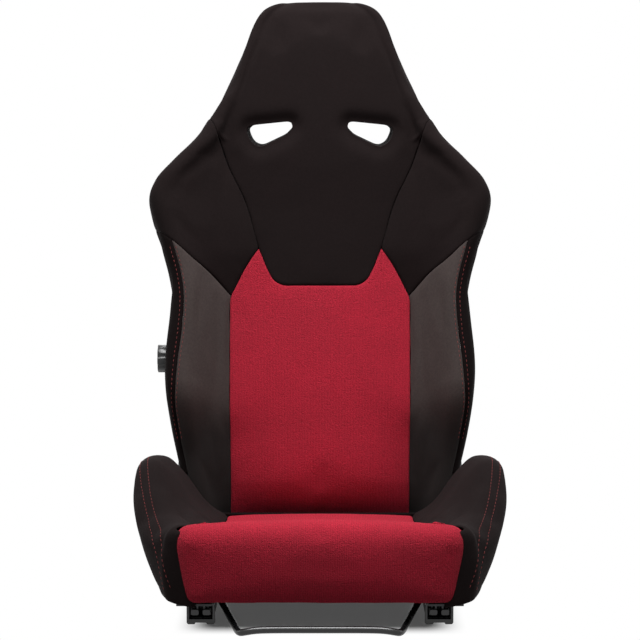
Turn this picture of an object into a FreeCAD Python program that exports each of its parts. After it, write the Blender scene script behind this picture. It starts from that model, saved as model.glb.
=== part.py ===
import FreeCAD, Part
import math
import os
from FreeCAD import Vector

# Reclining bucket seat on slide rails. Millimetres, +Z up, the seat faces -Y.
# The origin is on the floor, in the middle of the four mounting holes.

# Slide rails
BOLT_SPACING_X = 345.0
BOLT_SPACING_Y = 340.0
BOLT_Y = (-BOLT_SPACING_Y / 2, BOLT_SPACING_Y / 2)
FOOT_DIAMETER = 17.4
FOOT_HEIGHT = 10.0
BOLT_HOLE_RADIUS = 4.25
RAIL_LENGTH = 420.0
RAIL_WIDTH = 38.0
RAIL_HEIGHT = 24.0
RAIL_SHEET = 2.5
RAIL_MOUTH = 18.0
RAIL_LIP = 8.0
RAIL_BEND = 2.0
UPPER_RAIL_LENGTH = 430.0
UPPER_WEB_WIDTH = 12.4
UPPER_FLANGE_WIDTH = 29.0
UPPER_LIP = 6.8
UPPER_RAIL_RISE = 4.0
SLIDE_TRAVEL = 90.0

# Rollers and cages
ROLLER_DIAMETER = 5.0
ROLLER_LENGTH = 6.0
ROLLER_CLEARANCE = 0.1
CAGE_THICKNESS = 2.8
CAGE_LENGTH = 208.0
CAGE_CLEARANCE = 0.4
CAGE_OVERHANG = 1.0
ROLLERS_PER_ROW = 2
ROLLER_PITCH = 180.0
STOP_WIDTH = 5.0
STOP_HEIGHT = 4.4

# Latches and slide handle
LATCH_PITCH = 10.0
LATCH_TEETH = 3
TOOTH_WIDTH = 4.4
WINDOW_WIDTH = 5.0
WINDOW_BOTTOM = 13.5
WINDOW_TOP = 24.0
LATCH_SHEET = 3.0
LATCH_PIN_X = 137.0
LATCH_PIN_Z = 35.0
LATCH_Y = -100.0
LATCH_PIN_RADIUS = 2.5
LATCH_FOOT_TOP = 22.0
TOOTH_DEPTH = 1.75
LATCH_FOOT_GAP = 1.0
LOCK_TURN = 8.0
PIN_CLEARANCE = 0.05
HANDLE_DIAMETER = 10.0
HANDLE_PIVOT_Y = -131.0
HANDLE_PIVOT_Z = 26.4
HANDLE_END_X = 146.5
HANDLE_TAIL = 26.0
HANDLE_PIN_RADIUS = 3.0
HANDLE_KNEE_Y = -158.0
HANDLE_FRONT_X = 112.0
HANDLE_FRONT_Y = -318.0
HANDLE_FRONT_Z = 18.0
HANDLE_BEND_RADIUS = 20.0
BRACKET_SHEET = 2.5
BRACKET_TAB = 16.0
BRACKET_OVERLAP = 12.0

# Seat base frame
SIDE_FRAME_X = 203.0
SIDE_SHEET = 3.0
SIDE_FLANGE = 51.0
SIDE_FRONT_Y = -246.0
SIDE_REAR_Y = 168.0
SIDE_FRONT_TOP = 93.0
SIDE_REAR_TOP = 62.0
FRONT_TUBE_Y = -229.0
FRONT_TUBE_Z = 80.0
REAR_TUBE_Y = 128.0
REAR_TUBE_Z = 51.3
BASE_TUBE_DIAMETER = 20.0
STRAP_COUNT = 5
STRAP_WIDTH = 46.0
STRAP_THICKNESS = 2.4
STRAP_SAG = 7.0
SIDE_LEVEL = 40.0
SIDE_CORNER = 14.0
LIGHTENING_Y = (-120.0, -40.0, 40.0)
LIGHTENING_RISE = 17.0
LIGHTENING_RADIUS = 10.0

# Recliner
PIVOT_Y = 215.0
PIVOT_Z = 135.0
LEAN = 18.0
DISC_RADIUS = 37.0
DISC_THICKNESS = 5.4
DISC_GAP = 0.3
ARM_SHEET = 4.0
BACK_SIDE_SHEET = 3.0
ROD_RADIUS = 5.0
ROD_HOLE_RADIUS = 6.0
COVER_DEPTH = 21.0
COVER_RADIUS = 44.0
COVER_WALL = 2.5
COVER_BEVEL = 4.0
COVER_TAIL = (172.0, 84.0)
COVER_TAIL_RADIUS = 21.0
ARM_RADIUS = 40.0
ARM_KNEE = (150.0, 68.0)
ARM_KNEE_RADIUS = 20.0
ARM_TOE = (58.0, 60.0)
ARM_TOE_RADIUS = 13.0
SIDE_PLATE_TOP = 130.0
SIDE_PLATE_LAP = 6.0
LOWER_TUBE_HEIGHT = -18.0
LOWER_TUBE_DIAMETER = 16.0
LEVER_LENGTH = 104.0
LEVER_SHEET = 4.0
LEVER_DROP = 16.0
GRIP_LENGTH = 62.0
GRIP_WIDTH = 22.0
GRIP_THICKNESS = 12.0
LEVER_STAND_OFF = 31.0
LEVER_HUB_RADIUS = 11.0
LEVER_TIP_RADIUS = 6.6
GRIP_ROOT_RADIUS = 8.8
ROD_END = 2.0

# Cushion
CUSHION_FRONT = -290.0
CUSHION_REAR = 140.0
PANEL_HALF_WIDTH = 148.0
NOSE_HALF_WIDTH = 201.0
NOSE_BACK = -262.0
FLARE_START = -236.0
CAVITY_HALF_WIDTH = 211.5
CAVITY_FRONT = -250.0
PAD_CLEARANCE = 0.3
FRAME_SLOT_X = 195.0
FRAME_SLOT_RISE = 30.0

# Backrest
BACK_BOTTOM = -50.0
BACK_TOP = 821.0
NOTCH_RADIUS = 47.0
NOTCH_ROOM = 13.0
BOLSTER_FOOT_X = 152.0
BOLSTER_BOTTOM = 9.0
BOLSTER_FRONT_LIFT = 22.0
BOLSTER_SLOPE = 0.68
BOLSTER_TOE_RADIUS = 73.0
CROWN = 0.02
VALLEY_GAP = 12.0
ROD_SPACE = 3.0
CUT_MARGIN = 36.0
SLOT_PLANE = 55.0
SLOT_ROUNDING = 4.0
SHELL_DEPTH = 36.0
SHELL_WALL = 3.0
SHELL_INSET = 14.0
SHELL_LAP = 1.0
SHELL_BOTTOM = 62.0
SHELL_CORNER = 16.0
SHELL_TOP_DEPTH = 22.0
SHELL_SPACE = 2.0
FRAME_TUBE_DIAMETER = 20.0
FRAME_TUBE_DEPTH = -21.0
FRAME_BEND_RADIUS = 55.0
FRAME_SHOULDER = 520.0
FRAME_TOP_X = 84.0
FRAME_TOP = 768.0
BACK_STRAP_WIDTH = 34.0
BACK_STRAP_THICKNESS = 2.0
STRAP_HOOK = 6.0
BACK_STRAP_HEIGHTS = (345.0, 405.0, 465.0)
HARNESS_BAR_HEIGHT = 540.0
HARNESS_BAR_DIAMETER = 16.0

# Lumbar adjuster
LUMBAR_HEIGHT = 207.0
LUMBAR_DEPTH = -6.0
LUMBAR_SHAFT_RADIUS = 4.0
LUMBAR_TRAVEL = 18.0
CAM_BASE = 6.3
CAM_WIDTH = 9.0
CAM_ARCS = 3
CAM_HEEL = 3.9
CAM_X = 52.0
PLATE_HALF_WIDTH = 82.0
PLATE_HEIGHT = 150.0
PLATE_THICKNESS = 3.0
PLATE_CORNER = 18.0
PLATE_GAP = 0.3
GUIDE_WIDTH = 12.0
GUIDE_SHEET = 3.0
GUIDE_X = 66.0
GUIDE_OFFSET = 55.0
GUIDE_LENGTH = 31.0
BRACKET_STRIP = 22.0
BRACKET_STRIP_SHEET = 2.5
BEARING_WIDTH = 14.0
BEARING_HEIGHT = 18.0
POCKET_MARGIN = 5.0
POCKET_DEPTH = 24.0
KNOB_DIAMETER = 46.0
KNOB_LENGTH = 19.0
KNOB_GAP = 1.5
KNOB_FLUTES = 8
FLUTE_RADIUS = 6.0
FLUTE_DEPTH = 2.0
KNOB_NECK_RADIUS = 8.0
KNOB_NECK = 18.0
KNOB_CLEARANCE = 1.0

SIDES = (("left", -1), ("right", 1))
RAIL_X = BOLT_SPACING_X / 2
RAIL_TOP = FOOT_HEIGHT + RAIL_HEIGHT
RAIL_FLOOR = FOOT_HEIGHT + RAIL_SHEET
FLANGE_BOTTOM = RAIL_FLOOR + ROLLER_DIAMETER + 2 * ROLLER_CLEARANCE
UPPER_TOP = RAIL_TOP + UPPER_RAIL_RISE
FRAME_FOOT_TOP = UPPER_TOP + SIDE_SHEET
ARM_X = SIDE_FRAME_X + SIDE_SHEET
LOWER_DISC_X = ARM_X - DISC_THICKNESS
UPPER_DISC_X = LOWER_DISC_X - DISC_GAP - DISC_THICKNESS
BACK_SIDE_X = UPPER_DISC_X - BACK_SIDE_SHEET
COVER_X = ARM_X + ARM_SHEET
LEVER_X = COVER_X + COVER_DEPTH + LEVER_STAND_OFF
UPRIGHT_X = BACK_SIDE_X - FRAME_TUBE_DIAMETER / 2
COS_LEAN = math.cos(math.radians(LEAN))
SIN_LEAN = math.sin(math.radians(LEAN))
FORWARD = Vector(0, -COS_LEAN, SIN_LEAN)
UPWARD = Vector(0, SIN_LEAN, COS_LEAN)

# Cushion outlines: each point is a place along Y and the height or half width there.
CREST_Z = ((-290, 150), (-283, 160), (-272, 165), (-250, 164), (-200, 150), (-100, 126), (0, 109), (140, 96))
RIDGE_X = ((-290, 180), (-272, 193), (-230, 206), (-190, 226), (-130, 244), (-50, 255), (60, 247),
           (140, 227))
RIDGE_Z = ((-290, 146), (-272, 160), (-230, 157), (-190, 161), (-130, 187), (-50, 219), (60, 205),
           (105, 176), (140, 138))
OUTER_X = ((-290, 198), (-272, 212), (-230, 242), (-190, 260), (-90, 279), (0, 276), (60, 269), (140, 243))
SKIRT_X = ((-290, 196), (-272, 214), (-250, 223), (-210, 230), (60, 229), (140, 220))
SKIRT_Z = ((-290, 62), (-284, 56), (-272, 54), (140, 54))
CUSHION_STATIONS = (-290, -283, -268, -230, -190, -130, -50, 60, 140)

# Backrest outlines: each point is a height up the back and the half width or depth there.
BACK_EDGE = ((-50, 214), (21, 228), (100, 243), (179, 250), (300, 240), (376, 257), (434, 276), (462, 281),
             (487, 273), (526, 243), (568, 207), (610, 182), (665, 156), (735, 130), (786, 110), (808, 95),
             (821, 71))
BACK_VALLEY = ((-50, 148), (293, 148), (344, 125), (381, 102), (453, 121), (566, 163), (665, 132), (821, 44))
BACK_CENTER = ((-50, 44), (60, 52), (180, 56), (300, 55), (450, 58), (600, 62), (720, 60), (786, 52),
               (821, 30))
BACK_RIDGE = ((-50, 84), (48, 101), (150, 115), (300, 112), (430, 112), (487, 108), (540, 96), (600, 78),
              (665, 66), (735, 58), (786, 49), (821, 27))
RIDGE_INSET = ((-50, 20), (180, 24), (300, 21), (480, 24), (600, 18), (700, 14), (821, 10))
BACK_STATIONS = (-50, 48, 180, 300, 376, 440, 480, 515, 568, 612, 786, 808, 821)

# How far a cutter passes the face it opens
OVERCUT = 1.0

# How far the tools that cut and part the padding reach, along the back's depth and past its widest place
SEAM_CUT = (-5.0, 200.0)
REACH = max(half for _, half in BACK_EDGE) + CUT_MARGIN
NOTCH_HALF_WIDTH = SIDE_FRAME_X - NOTCH_ROOM

# How far round a bolster's top the arc goes towards the middle of the seat, in degrees
BROW_TURN = 50.0
BEAD_LINES = 5
BEAD_STEP = (90.0 + BROW_TURN) / BEAD_LINES

# Seams of the backrest cover, as (half width, height) on the photographed right half.
PANEL_SEAM = ((148, 293), (138, 318), (125, 344), (101, 381))
PANEL_SPIKE = ((101, 381), (94, 364), (86, 344), (76, 327), (58, 318), (0, 318))
CHEST_SEAM = ((101, 381), (121, 453), (154, 526), (169, 566), (187, 599), (215, 640))
SHOULDER_SEAM = ((144.8, 301), (176, 332), (209, 358), (228, 382), (320, 470))
SLOT_CORNERS = ((50, 599), (114, 592), (122, 584), (113, 563), (98, 556), (58, 576), (47, 588))


def curve_through(points):
    """Give a smooth curve through the points that stays between neighbouring values."""
    xs = [float(point[0]) for point in points]
    ys = [float(point[1]) for point in points]
    steps = [b - a for a, b in zip(xs, xs[1:])]
    rises = [(d - c) / step for c, d, step in zip(ys, ys[1:], steps)]
    slopes = [rises[0]]
    for before, after in zip(rises, rises[1:]):
        slopes.append(0.0 if before * after <= 0 else 2 * before * after / (before + after))
    slopes.append(rises[-1])

    def value(x):
        index = 0
        while index < len(steps) - 1 and x > xs[index + 1]:
            index += 1
        s = (x - xs[index]) / steps[index]
        s = min(max(s, 0.0), 1.0)
        h = steps[index]
        return (ys[index] * (1 + 2 * s) * (1 - s) ** 2 + slopes[index] * h * s * (1 - s) ** 2
                + ys[index + 1] * s * s * (3 - 2 * s) + slopes[index + 1] * h * s * s * (s - 1))

    return value


def on_back(u, w, t):
    """A place on the backrest: u to the side, w up the back, t forward of its rear plane."""
    return Vector(u, PIVOT_Y, PIVOT_Z) + UPWARD * w + FORWARD * t


def box(x0, x1, y0, y1, z0, z1):
    return Part.makeBox(x1 - x0, y1 - y0, z1 - z0, Vector(x0, y0, z0))


def side_box(side, x0, x1, y0, y1, z0, z1):
    """A box given for the right side, mirrored where side is -1."""
    low, high = sorted((side * x0, side * x1))
    return box(low, high, y0, y1, z0, z1)


def mirrored(shape):
    return shape.mirror(Vector(0, 0, 0), Vector(1, 0, 0))


def for_side(shape, side):
    return shape if side > 0 else mirrored(shape)


def pair(shape):
    """The right piece and its mirror image as two solids."""
    return Part.makeCompound([mirrored(shape), shape])


def rod_x(x0, x1, y, z, radius):
    return Part.makeCylinder(radius, x1 - x0, Vector(x0, y, z), Vector(1, 0, 0))


def back_rod(u0, u1, w, t, radius):
    centre = on_back(u0, w, t)
    return Part.makeCylinder(radius, u1 - u0, centre, Vector(1, 0, 0))


def polygon(points):
    return Part.Face(Part.makePolygon(list(points) + [points[0]]))


def prism_x(points, x0, x1):
    """A plate between two X places, from a (y, z) outline."""
    return polygon([Vector(x0, y, z) for y, z in points]).extrude(Vector(x1 - x0, 0, 0))


def link(a, a_radius, b, b_radius, x0, x1):
    """A plate between two X places: two circles in the YZ plane joined by their tangents."""
    dy, dz = b[0] - a[0], b[1] - a[1]
    along = math.atan2(dz, dy)
    spread = math.acos((a_radius - b_radius) / math.hypot(dy, dz))

    def rim(centre, radius, angle):
        return Vector(x0, centre[0] + radius * math.cos(angle), centre[1] + radius * math.sin(angle))

    a_high, a_low = rim(a, a_radius, along + spread), rim(a, a_radius, along - spread)
    b_high, b_low = rim(b, b_radius, along + spread), rim(b, b_radius, along - spread)
    edges = [Part.LineSegment(a_low, b_low).toShape(),
             Part.Arc(b_low, rim(b, b_radius, along), b_high).toShape(),
             Part.LineSegment(b_high, a_high).toShape(),
             Part.Arc(a_high, rim(a, a_radius, along + math.pi), a_low).toShape()]
    return Part.Face(Part.Wire(edges)).extrude(Vector(x1 - x0, 0, 0))


def bent_path(points, radii):
    """Straight runs joined by tangent arcs, one radius for each inner point."""
    edges = []
    start = points[0]
    for before, corner, after, radius in zip(points, points[1:], points[2:], radii):
        into = (corner - before).normalize()
        out = (after - corner).normalize()
        turn = into.getAngle(out)
        reach = radius * math.tan(turn / 2)
        arc_start = corner - into * reach
        arc_end = corner + out * reach
        inward = (out - into).normalize()
        middle = corner + inward * (radius / math.cos(turn / 2) - radius)
        edges.append(Part.LineSegment(start, arc_start).toShape())
        edges.append(Part.Arc(arc_start, middle, arc_end).toShape())
        start = arc_end
    edges.append(Part.LineSegment(start, points[-1]).toShape())
    return Part.Wire(edges)


def bent_tube(points, radii, radius):
    path = bent_path(points, radii)
    direction = points[1] - points[0]
    circle = Part.Wire(Part.makeCircle(radius, points[0], direction))
    return path.makePipeShell([circle], True, False)


def padded_section(place, middle, valley, ridge, roundness, foot):
    """One closed section of a bolstered pad: crowned middle, rising bolsters, flat underside.

    place turns a (side, height) pair into a point. The right half's corners are given: the seam in the
    valley, the highest point of the bolster with the radius of its rounded top, and the foot of its side.
    """
    def bead(degrees):
        angle = math.radians(degrees)
        return ridge[0] + roundness * math.sin(angle), ridge[1] - roundness * (1 - math.cos(angle))

    turns = [BEAD_STEP * index - BROW_TURN for index in range(BEAD_LINES + 1)]
    half = [valley] + [bead(turn) for turn in turns] + [foot]
    right = [place(*point) for point in half]
    left = [place(-side, height) for side, height in reversed(half)]
    crown = Part.Arc(left[-1], place(0, middle), right[0]).toShape()
    return Part.Wire([crown] + Part.makePolygon(right + left).Edges)


def c_channel(length):
    """A lower rail: floor, two walls, and two lips that turn in and down."""
    outer = box(-RAIL_WIDTH / 2, RAIL_WIDTH / 2, -length / 2, length / 2, FOOT_HEIGHT, RAIL_TOP)
    outer = outer.makeFillet(RAIL_BEND, [edge for edge in outer.Edges if edge.BoundBox.YLength > length / 2])
    half_mouth = RAIL_MOUTH / 2
    inner_half = RAIL_WIDTH / 2 - RAIL_SHEET
    lip_inner = half_mouth + RAIL_SHEET
    lip_bottom = RAIL_TOP - RAIL_LIP
    profile = [(-inner_half, RAIL_FLOOR), (inner_half, RAIL_FLOOR), (inner_half, RAIL_TOP - RAIL_SHEET),
               (lip_inner, RAIL_TOP - RAIL_SHEET), (lip_inner, lip_bottom), (half_mouth, lip_bottom),
               (half_mouth, RAIL_TOP + OVERCUT), (-half_mouth, RAIL_TOP + OVERCUT),
               (-half_mouth, lip_bottom),
               (-lip_inner, lip_bottom), (-lip_inner, RAIL_TOP - RAIL_SHEET),
               (-inner_half, RAIL_TOP - RAIL_SHEET)]
    hollow = polygon([Vector(x, -length, z) for x, z in profile]).extrude(Vector(0, 2 * length, 0))
    return outer.cut(hollow)


def lower_rail():
    """The right lower rail on its two round feet, with bolt holes and latch windows in its inner wall."""
    rail = c_channel(RAIL_LENGTH).translated(Vector(RAIL_X, 0, 0))
    feet = [Part.makeCylinder(FOOT_DIAMETER / 2, FOOT_HEIGHT, Vector(RAIL_X, y, 0)) for y in BOLT_Y]
    rail = rail.fuse(feet)
    inner_wall = RAIL_X - RAIL_WIDTH / 2
    reach = SLIDE_TRAVEL + (LATCH_TEETH - 1) * LATCH_PITCH / 2
    count = int(round(2 * reach / LATCH_PITCH)) + 1
    windows = []
    for index in range(count):
        y = LATCH_Y - reach + index * LATCH_PITCH
        windows.append(box(inner_wall - OVERCUT, inner_wall + RAIL_SHEET + OVERCUT, y - WINDOW_WIDTH / 2,
                           y + WINDOW_WIDTH / 2, WINDOW_BOTTOM, WINDOW_TOP))
    holes = [Part.makeCylinder(BOLT_HOLE_RADIUS, RAIL_TOP, Vector(RAIL_X, y, -OVERCUT)) for y in BOLT_Y]
    return rail.cut(Part.makeCompound(windows + holes)).removeSplitter()


def rail_end_stops():
    """Ribs pressed up from the rail floors that end the roller cages' travel."""
    near = CAGE_LENGTH / 2 + SLIDE_TRAVEL / 2 + CAGE_CLEARANCE
    inner_half = RAIL_WIDTH / 2 - RAIL_SHEET
    return Part.makeCompound([
        box(x - inner_half, x + inner_half, min(end * near, end * (near + STOP_WIDTH)),
            max(end * near, end * (near + STOP_WIDTH)), RAIL_FLOOR, RAIL_FLOOR + STOP_HEIGHT)
        for x in (-RAIL_X, RAIL_X) for end in (-1, 1)])


def roller_places():
    """Centres of the rollers of one rail, along Y and to each side of the rail's middle."""
    web = UPPER_WEB_WIDTH / 2
    side = web + (UPPER_FLANGE_WIDTH / 2 - web) / 2
    first = -(ROLLERS_PER_ROW - 1) * ROLLER_PITCH / 2
    return [(offset, first + row * ROLLER_PITCH)
            for offset in (-side, side) for row in range(ROLLERS_PER_ROW)]


def roller_cages():
    middle = RAIL_FLOOR + ROLLER_CLEARANCE + ROLLER_DIAMETER / 2
    half_width = UPPER_FLANGE_WIDTH / 2 + CAGE_OVERHANG
    cages = []
    for x in (-RAIL_X, RAIL_X):
        cage = box(x - half_width, x + half_width, -CAGE_LENGTH / 2, CAGE_LENGTH / 2,
                   middle - CAGE_THICKNESS / 2, middle + CAGE_THICKNESS / 2)
        for offset, y in roller_places():
            half_x = ROLLER_LENGTH / 2 + ROLLER_CLEARANCE
            half_y = ROLLER_DIAMETER / 2 + ROLLER_CLEARANCE
            middle_x = x + offset
            cage = cage.cut(box(middle_x - half_x, middle_x + half_x, y - half_y, y + half_y, 0, RAIL_TOP))
        cages.append(cage)
    return Part.makeCompound(cages)


def rail_rollers():
    middle = RAIL_FLOOR + ROLLER_CLEARANCE + ROLLER_DIAMETER / 2
    return Part.makeCompound([
        rod_x(x + offset - ROLLER_LENGTH / 2, x + offset + ROLLER_LENGTH / 2, y, middle, ROLLER_DIAMETER / 2)
        for x in (-RAIL_X, RAIL_X) for offset, y in roller_places()])


def upper_rail():
    """The right upper rail: a hat section with turned-up flanges that runs in the lower rail."""
    web = UPPER_WEB_WIDTH / 2
    flange = UPPER_FLANGE_WIDTH / 2
    flange_top = FLANGE_BOTTOM + RAIL_SHEET
    inner = web - RAIL_SHEET
    half = [(inner, FLANGE_BOTTOM), (flange, FLANGE_BOTTOM), (flange, flange_top + UPPER_LIP),
            (flange - RAIL_SHEET, flange_top + UPPER_LIP), (flange - RAIL_SHEET, flange_top),
            (web, flange_top), (web, UPPER_TOP)]
    outline = half + [(-x, z) for x, z in reversed(half)]
    roof = UPPER_TOP - RAIL_SHEET
    outline += [(-inner, roof), (inner, roof)]
    points = [Vector(RAIL_X + x, -UPPER_RAIL_LENGTH / 2, z) for x, z in outline]
    return polygon(points).extrude(Vector(0, UPPER_RAIL_LENGTH, 0))


def side_frame():
    """The right side frame: a pressed plate with a foot flange and round lightening holes."""
    outline = [(SIDE_FRONT_Y, UPPER_TOP), (SIDE_REAR_Y, UPPER_TOP), (SIDE_REAR_Y, SIDE_REAR_TOP),
               (SIDE_FRONT_Y + SIDE_LEVEL, SIDE_FRONT_TOP), (SIDE_FRONT_Y, SIDE_FRONT_TOP)]
    plate = prism_x(outline, SIDE_FRAME_X, ARM_X)
    corner = [edge for edge in plate.Edges if edge.BoundBox.XLength > SIDE_SHEET / 2
              and edge.BoundBox.ZMin > SIDE_FRONT_TOP - SIDE_SHEET
              and edge.BoundBox.YMax < SIDE_FRONT_Y + SIDE_SHEET]
    plate = plate.makeFillet(SIDE_CORNER, corner)
    flange = box(ARM_X - SIDE_FLANGE, ARM_X, SIDE_FRONT_Y, SIDE_REAR_Y, UPPER_TOP, FRAME_FOOT_TOP)
    z = FRAME_FOOT_TOP + LIGHTENING_RISE
    holes = [rod_x(SIDE_FRAME_X - OVERCUT, ARM_X + OVERCUT, y, z, LIGHTENING_RADIUS) for y in LIGHTENING_Y]
    return plate.fuse(flange).removeSplitter().cut(Part.makeCompound(holes))


def cross_tube(y, z):
    return rod_x(-SIDE_FRAME_X, SIDE_FRAME_X, y, z, BASE_TUBE_DIAMETER / 2)


def pan_height(y):
    """Top of the springing under the cushion, a straight slope from the front to the rear tube."""
    front = FRONT_TUBE_Z + BASE_TUBE_DIAMETER / 2
    rear = REAR_TUBE_Z + BASE_TUBE_DIAMETER / 2
    return front + (rear - front) * (y - FRONT_TUBE_Y) / (REAR_TUBE_Y - FRONT_TUBE_Y)


def seat_straps():
    """Elastic webbing across the seat, sagging a little, with its ends on the side frames."""
    straps = []
    for index in range(STRAP_COUNT):
        y = FRONT_TUBE_Y + (index + 0.5) * (REAR_TUBE_Y - FRONT_TUBE_Y) / STRAP_COUNT
        y0, y1 = y - STRAP_WIDTH / 2, y + STRAP_WIDTH / 2
        z = pan_height(y1) - STRAP_THICKNESS
        ends = [Vector(-SIDE_FRAME_X, y0, z), Vector(0, y0, z - STRAP_SAG), Vector(SIDE_FRAME_X, y0, z)]
        up = Vector(0, 0, STRAP_THICKNESS)
        lower = Part.Arc(*ends).toShape()
        upper = Part.Arc(*[end + up for end in reversed(ends)]).toShape()
        right_end = Part.LineSegment(ends[2], ends[2] + up).toShape()
        left_end = Part.LineSegment(ends[0] + up, ends[0]).toShape()
        wire = Part.Wire([lower, right_end, upper, left_end])
        straps.append(Part.Face(wire).extrude(Vector(0, STRAP_WIDTH, 0)))
    return Part.makeCompound(straps)


def latch_places():
    """Y places of the latch teeth."""
    first = LATCH_Y - (LATCH_TEETH - 1) * LATCH_PITCH / 2
    return [first + index * LATCH_PITCH for index in range(LATCH_TEETH)]


def latch_span():
    teeth = latch_places()
    return teeth[0] - LATCH_PITCH, teeth[-1] + LATCH_PITCH


def latch_plate():
    """The right latch: an eye round its pin, a web down to a foot, and teeth for the rail's windows.

    It is drawn locked and then swung open until its teeth are just free of the rail.
    """
    low, high = latch_span()
    wall = RAIL_X - RAIL_WIDTH / 2
    foot_bottom = LATCH_FOOT_TOP - LATCH_SHEET
    eye_radius = LATCH_PIN_RADIUS + LATCH_SHEET
    web_x = LATCH_PIN_X - eye_radius
    y0, y1 = low + BRACKET_SHEET + DISC_GAP, high - BRACKET_SHEET - DISC_GAP
    web = box(web_x, web_x + LATCH_SHEET, y0, y1, foot_bottom, LATCH_PIN_Z)
    foot = box(web_x, wall - LATCH_FOOT_GAP, y0, y1, foot_bottom, LATCH_FOOT_TOP)
    eye = Part.makeCylinder(eye_radius, y1 - y0, Vector(LATCH_PIN_X, y0, LATCH_PIN_Z), Vector(0, 1, 0))
    tip = wall + TOOTH_DEPTH
    half = TOOTH_WIDTH / 2
    teeth = [box(wall - LATCH_FOOT_GAP, tip, y - half, y + half, foot_bottom, LATCH_FOOT_TOP)
             for y in latch_places()]
    bore = Part.makeCylinder(LATCH_PIN_RADIUS + PIN_CLEARANCE, y1 - y0, Vector(LATCH_PIN_X, y0, LATCH_PIN_Z),
                             Vector(0, 1, 0))
    plate = web.fuse([foot, eye] + teeth).cut(bore).removeSplitter()
    return plate.rotated(Vector(LATCH_PIN_X, 0, LATCH_PIN_Z), Vector(0, 1, 0), LOCK_TURN)


def latch_bracket():
    """The right bracket under the side frame: ears with the latch pin and a tab with the handle's pin."""
    low, high = latch_span()
    ear_x0 = LATCH_PIN_X - LATCH_PIN_RADIUS - LATCH_SHEET
    ear_bottom = LATCH_PIN_Z - LATCH_PIN_RADIUS - LATCH_SHEET
    tab_x1 = HANDLE_END_X - HANDLE_DIAMETER / 2 - DISC_GAP
    tab_x0 = tab_x1 - BRACKET_SHEET
    tab_y = HANDLE_PIVOT_Y - BRACKET_TAB / 2
    roof = box(ear_x0, ARM_X - SIDE_FLANGE + BRACKET_OVERLAP, tab_y, high, FRAME_FOOT_TOP,
               FRAME_FOOT_TOP + BRACKET_SHEET)
    ears = [box(ear_x0, tab_x1, y, y + BRACKET_SHEET, ear_bottom, FRAME_FOOT_TOP)
            for y in (low, high - BRACKET_SHEET)]
    tab_bottom = HANDLE_PIVOT_Z - HANDLE_DIAMETER / 2
    tab = box(tab_x0, tab_x1, tab_y, tab_y + BRACKET_TAB, tab_bottom, FRAME_FOOT_TOP)
    latch_pin = Part.makeCylinder(LATCH_PIN_RADIUS, high - low, Vector(LATCH_PIN_X, low, LATCH_PIN_Z),
                                  Vector(0, 1, 0))
    pin_end = HANDLE_END_X + HANDLE_DIAMETER / 2 + DISC_GAP
    handle_pin = rod_x(tab_x0, pin_end, HANDLE_PIVOT_Y, HANDLE_PIVOT_Z, HANDLE_PIN_RADIUS)
    return roof.fuse(ears + [tab, latch_pin, handle_pin]).removeSplitter()


def slide_handle():
    """The bent bar that frees both latches: its tails press on the latch feet when its front is raised."""
    half = [Vector(HANDLE_END_X, HANDLE_PIVOT_Y + HANDLE_TAIL, HANDLE_PIVOT_Z),
            Vector(HANDLE_END_X, HANDLE_KNEE_Y, HANDLE_PIVOT_Z),
            Vector(HANDLE_FRONT_X, HANDLE_FRONT_Y, HANDLE_FRONT_Z)]
    points = half + [Vector(-point.x, point.y, point.z) for point in reversed(half)]
    bar = bent_tube(points, [HANDLE_BEND_RADIUS] * (len(points) - 2), HANDLE_DIAMETER / 2)
    reach = HANDLE_END_X + HANDLE_DIAMETER
    return bar.cut(rod_x(-reach, reach, HANDLE_PIVOT_Y, HANDLE_PIVOT_Z, HANDLE_PIN_RADIUS + PIN_CLEARANCE))


def recliner_arm():
    """The right recliner arm, welded to the side frame, with the fixed half of the disc recliner."""
    pivot = (PIVOT_Y, PIVOT_Z)
    arm = link(pivot, ARM_RADIUS, ARM_KNEE, ARM_KNEE_RADIUS, ARM_X, COVER_X)
    shin = link(ARM_KNEE, ARM_KNEE_RADIUS, ARM_TOE, ARM_TOE_RADIUS, ARM_X, COVER_X)
    disc = rod_x(LOWER_DISC_X, ARM_X, PIVOT_Y, PIVOT_Z, DISC_RADIUS)
    bore = rod_x(LOWER_DISC_X, COVER_X, PIVOT_Y, PIVOT_Z, ROD_RADIUS + PIN_CLEARANCE)
    return arm.fuse([shin, disc]).cut(bore).removeSplitter()


def recliner_cover():
    """The right recliner cover: a hollow plastic shell over the arm and disc."""
    pivot = (PIVOT_Y, PIVOT_Z)
    outer = link(pivot, COVER_RADIUS, COVER_TAIL, COVER_TAIL_RADIUS, COVER_X, COVER_X + COVER_DEPTH)
    face = [edge for edge in outer.Edges if edge.BoundBox.XMin > COVER_X + COVER_DEPTH / 2]
    outer = outer.makeChamfer(COVER_BEVEL, face)
    inner = link(pivot, COVER_RADIUS - COVER_WALL, COVER_TAIL, COVER_TAIL_RADIUS - COVER_WALL, COVER_X,
                 COVER_X + COVER_DEPTH - COVER_WALL)
    return outer.cut(inner)


def backrest_side_plate():
    """The right plate on the backrest's tube, with the moving half of the disc recliner."""
    disc = rod_x(BACK_SIDE_X, UPPER_DISC_X + DISC_THICKNESS, PIVOT_Y, PIVOT_Z, DISC_RADIUS)
    half = FRAME_TUBE_DIAMETER / 2
    t0, t1 = FRAME_TUBE_DEPTH - half, FRAME_TUBE_DEPTH + half + SIDE_PLATE_LAP
    corners = [on_back(BACK_SIDE_X, w, t) for w, t in ((0, t0), (0, t1), (SIDE_PLATE_TOP, t0 + half),
                                                       (SIDE_PLATE_TOP, t0))]
    arm = polygon(corners).extrude(Vector(BACK_SIDE_SHEET, 0, 0))
    plate = disc.fuse(arm).removeSplitter()
    return plate.cut(rod_x(BACK_SIDE_X, UPPER_DISC_X + DISC_THICKNESS, PIVOT_Y, PIVOT_Z, ROD_HOLE_RADIUS))


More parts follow.
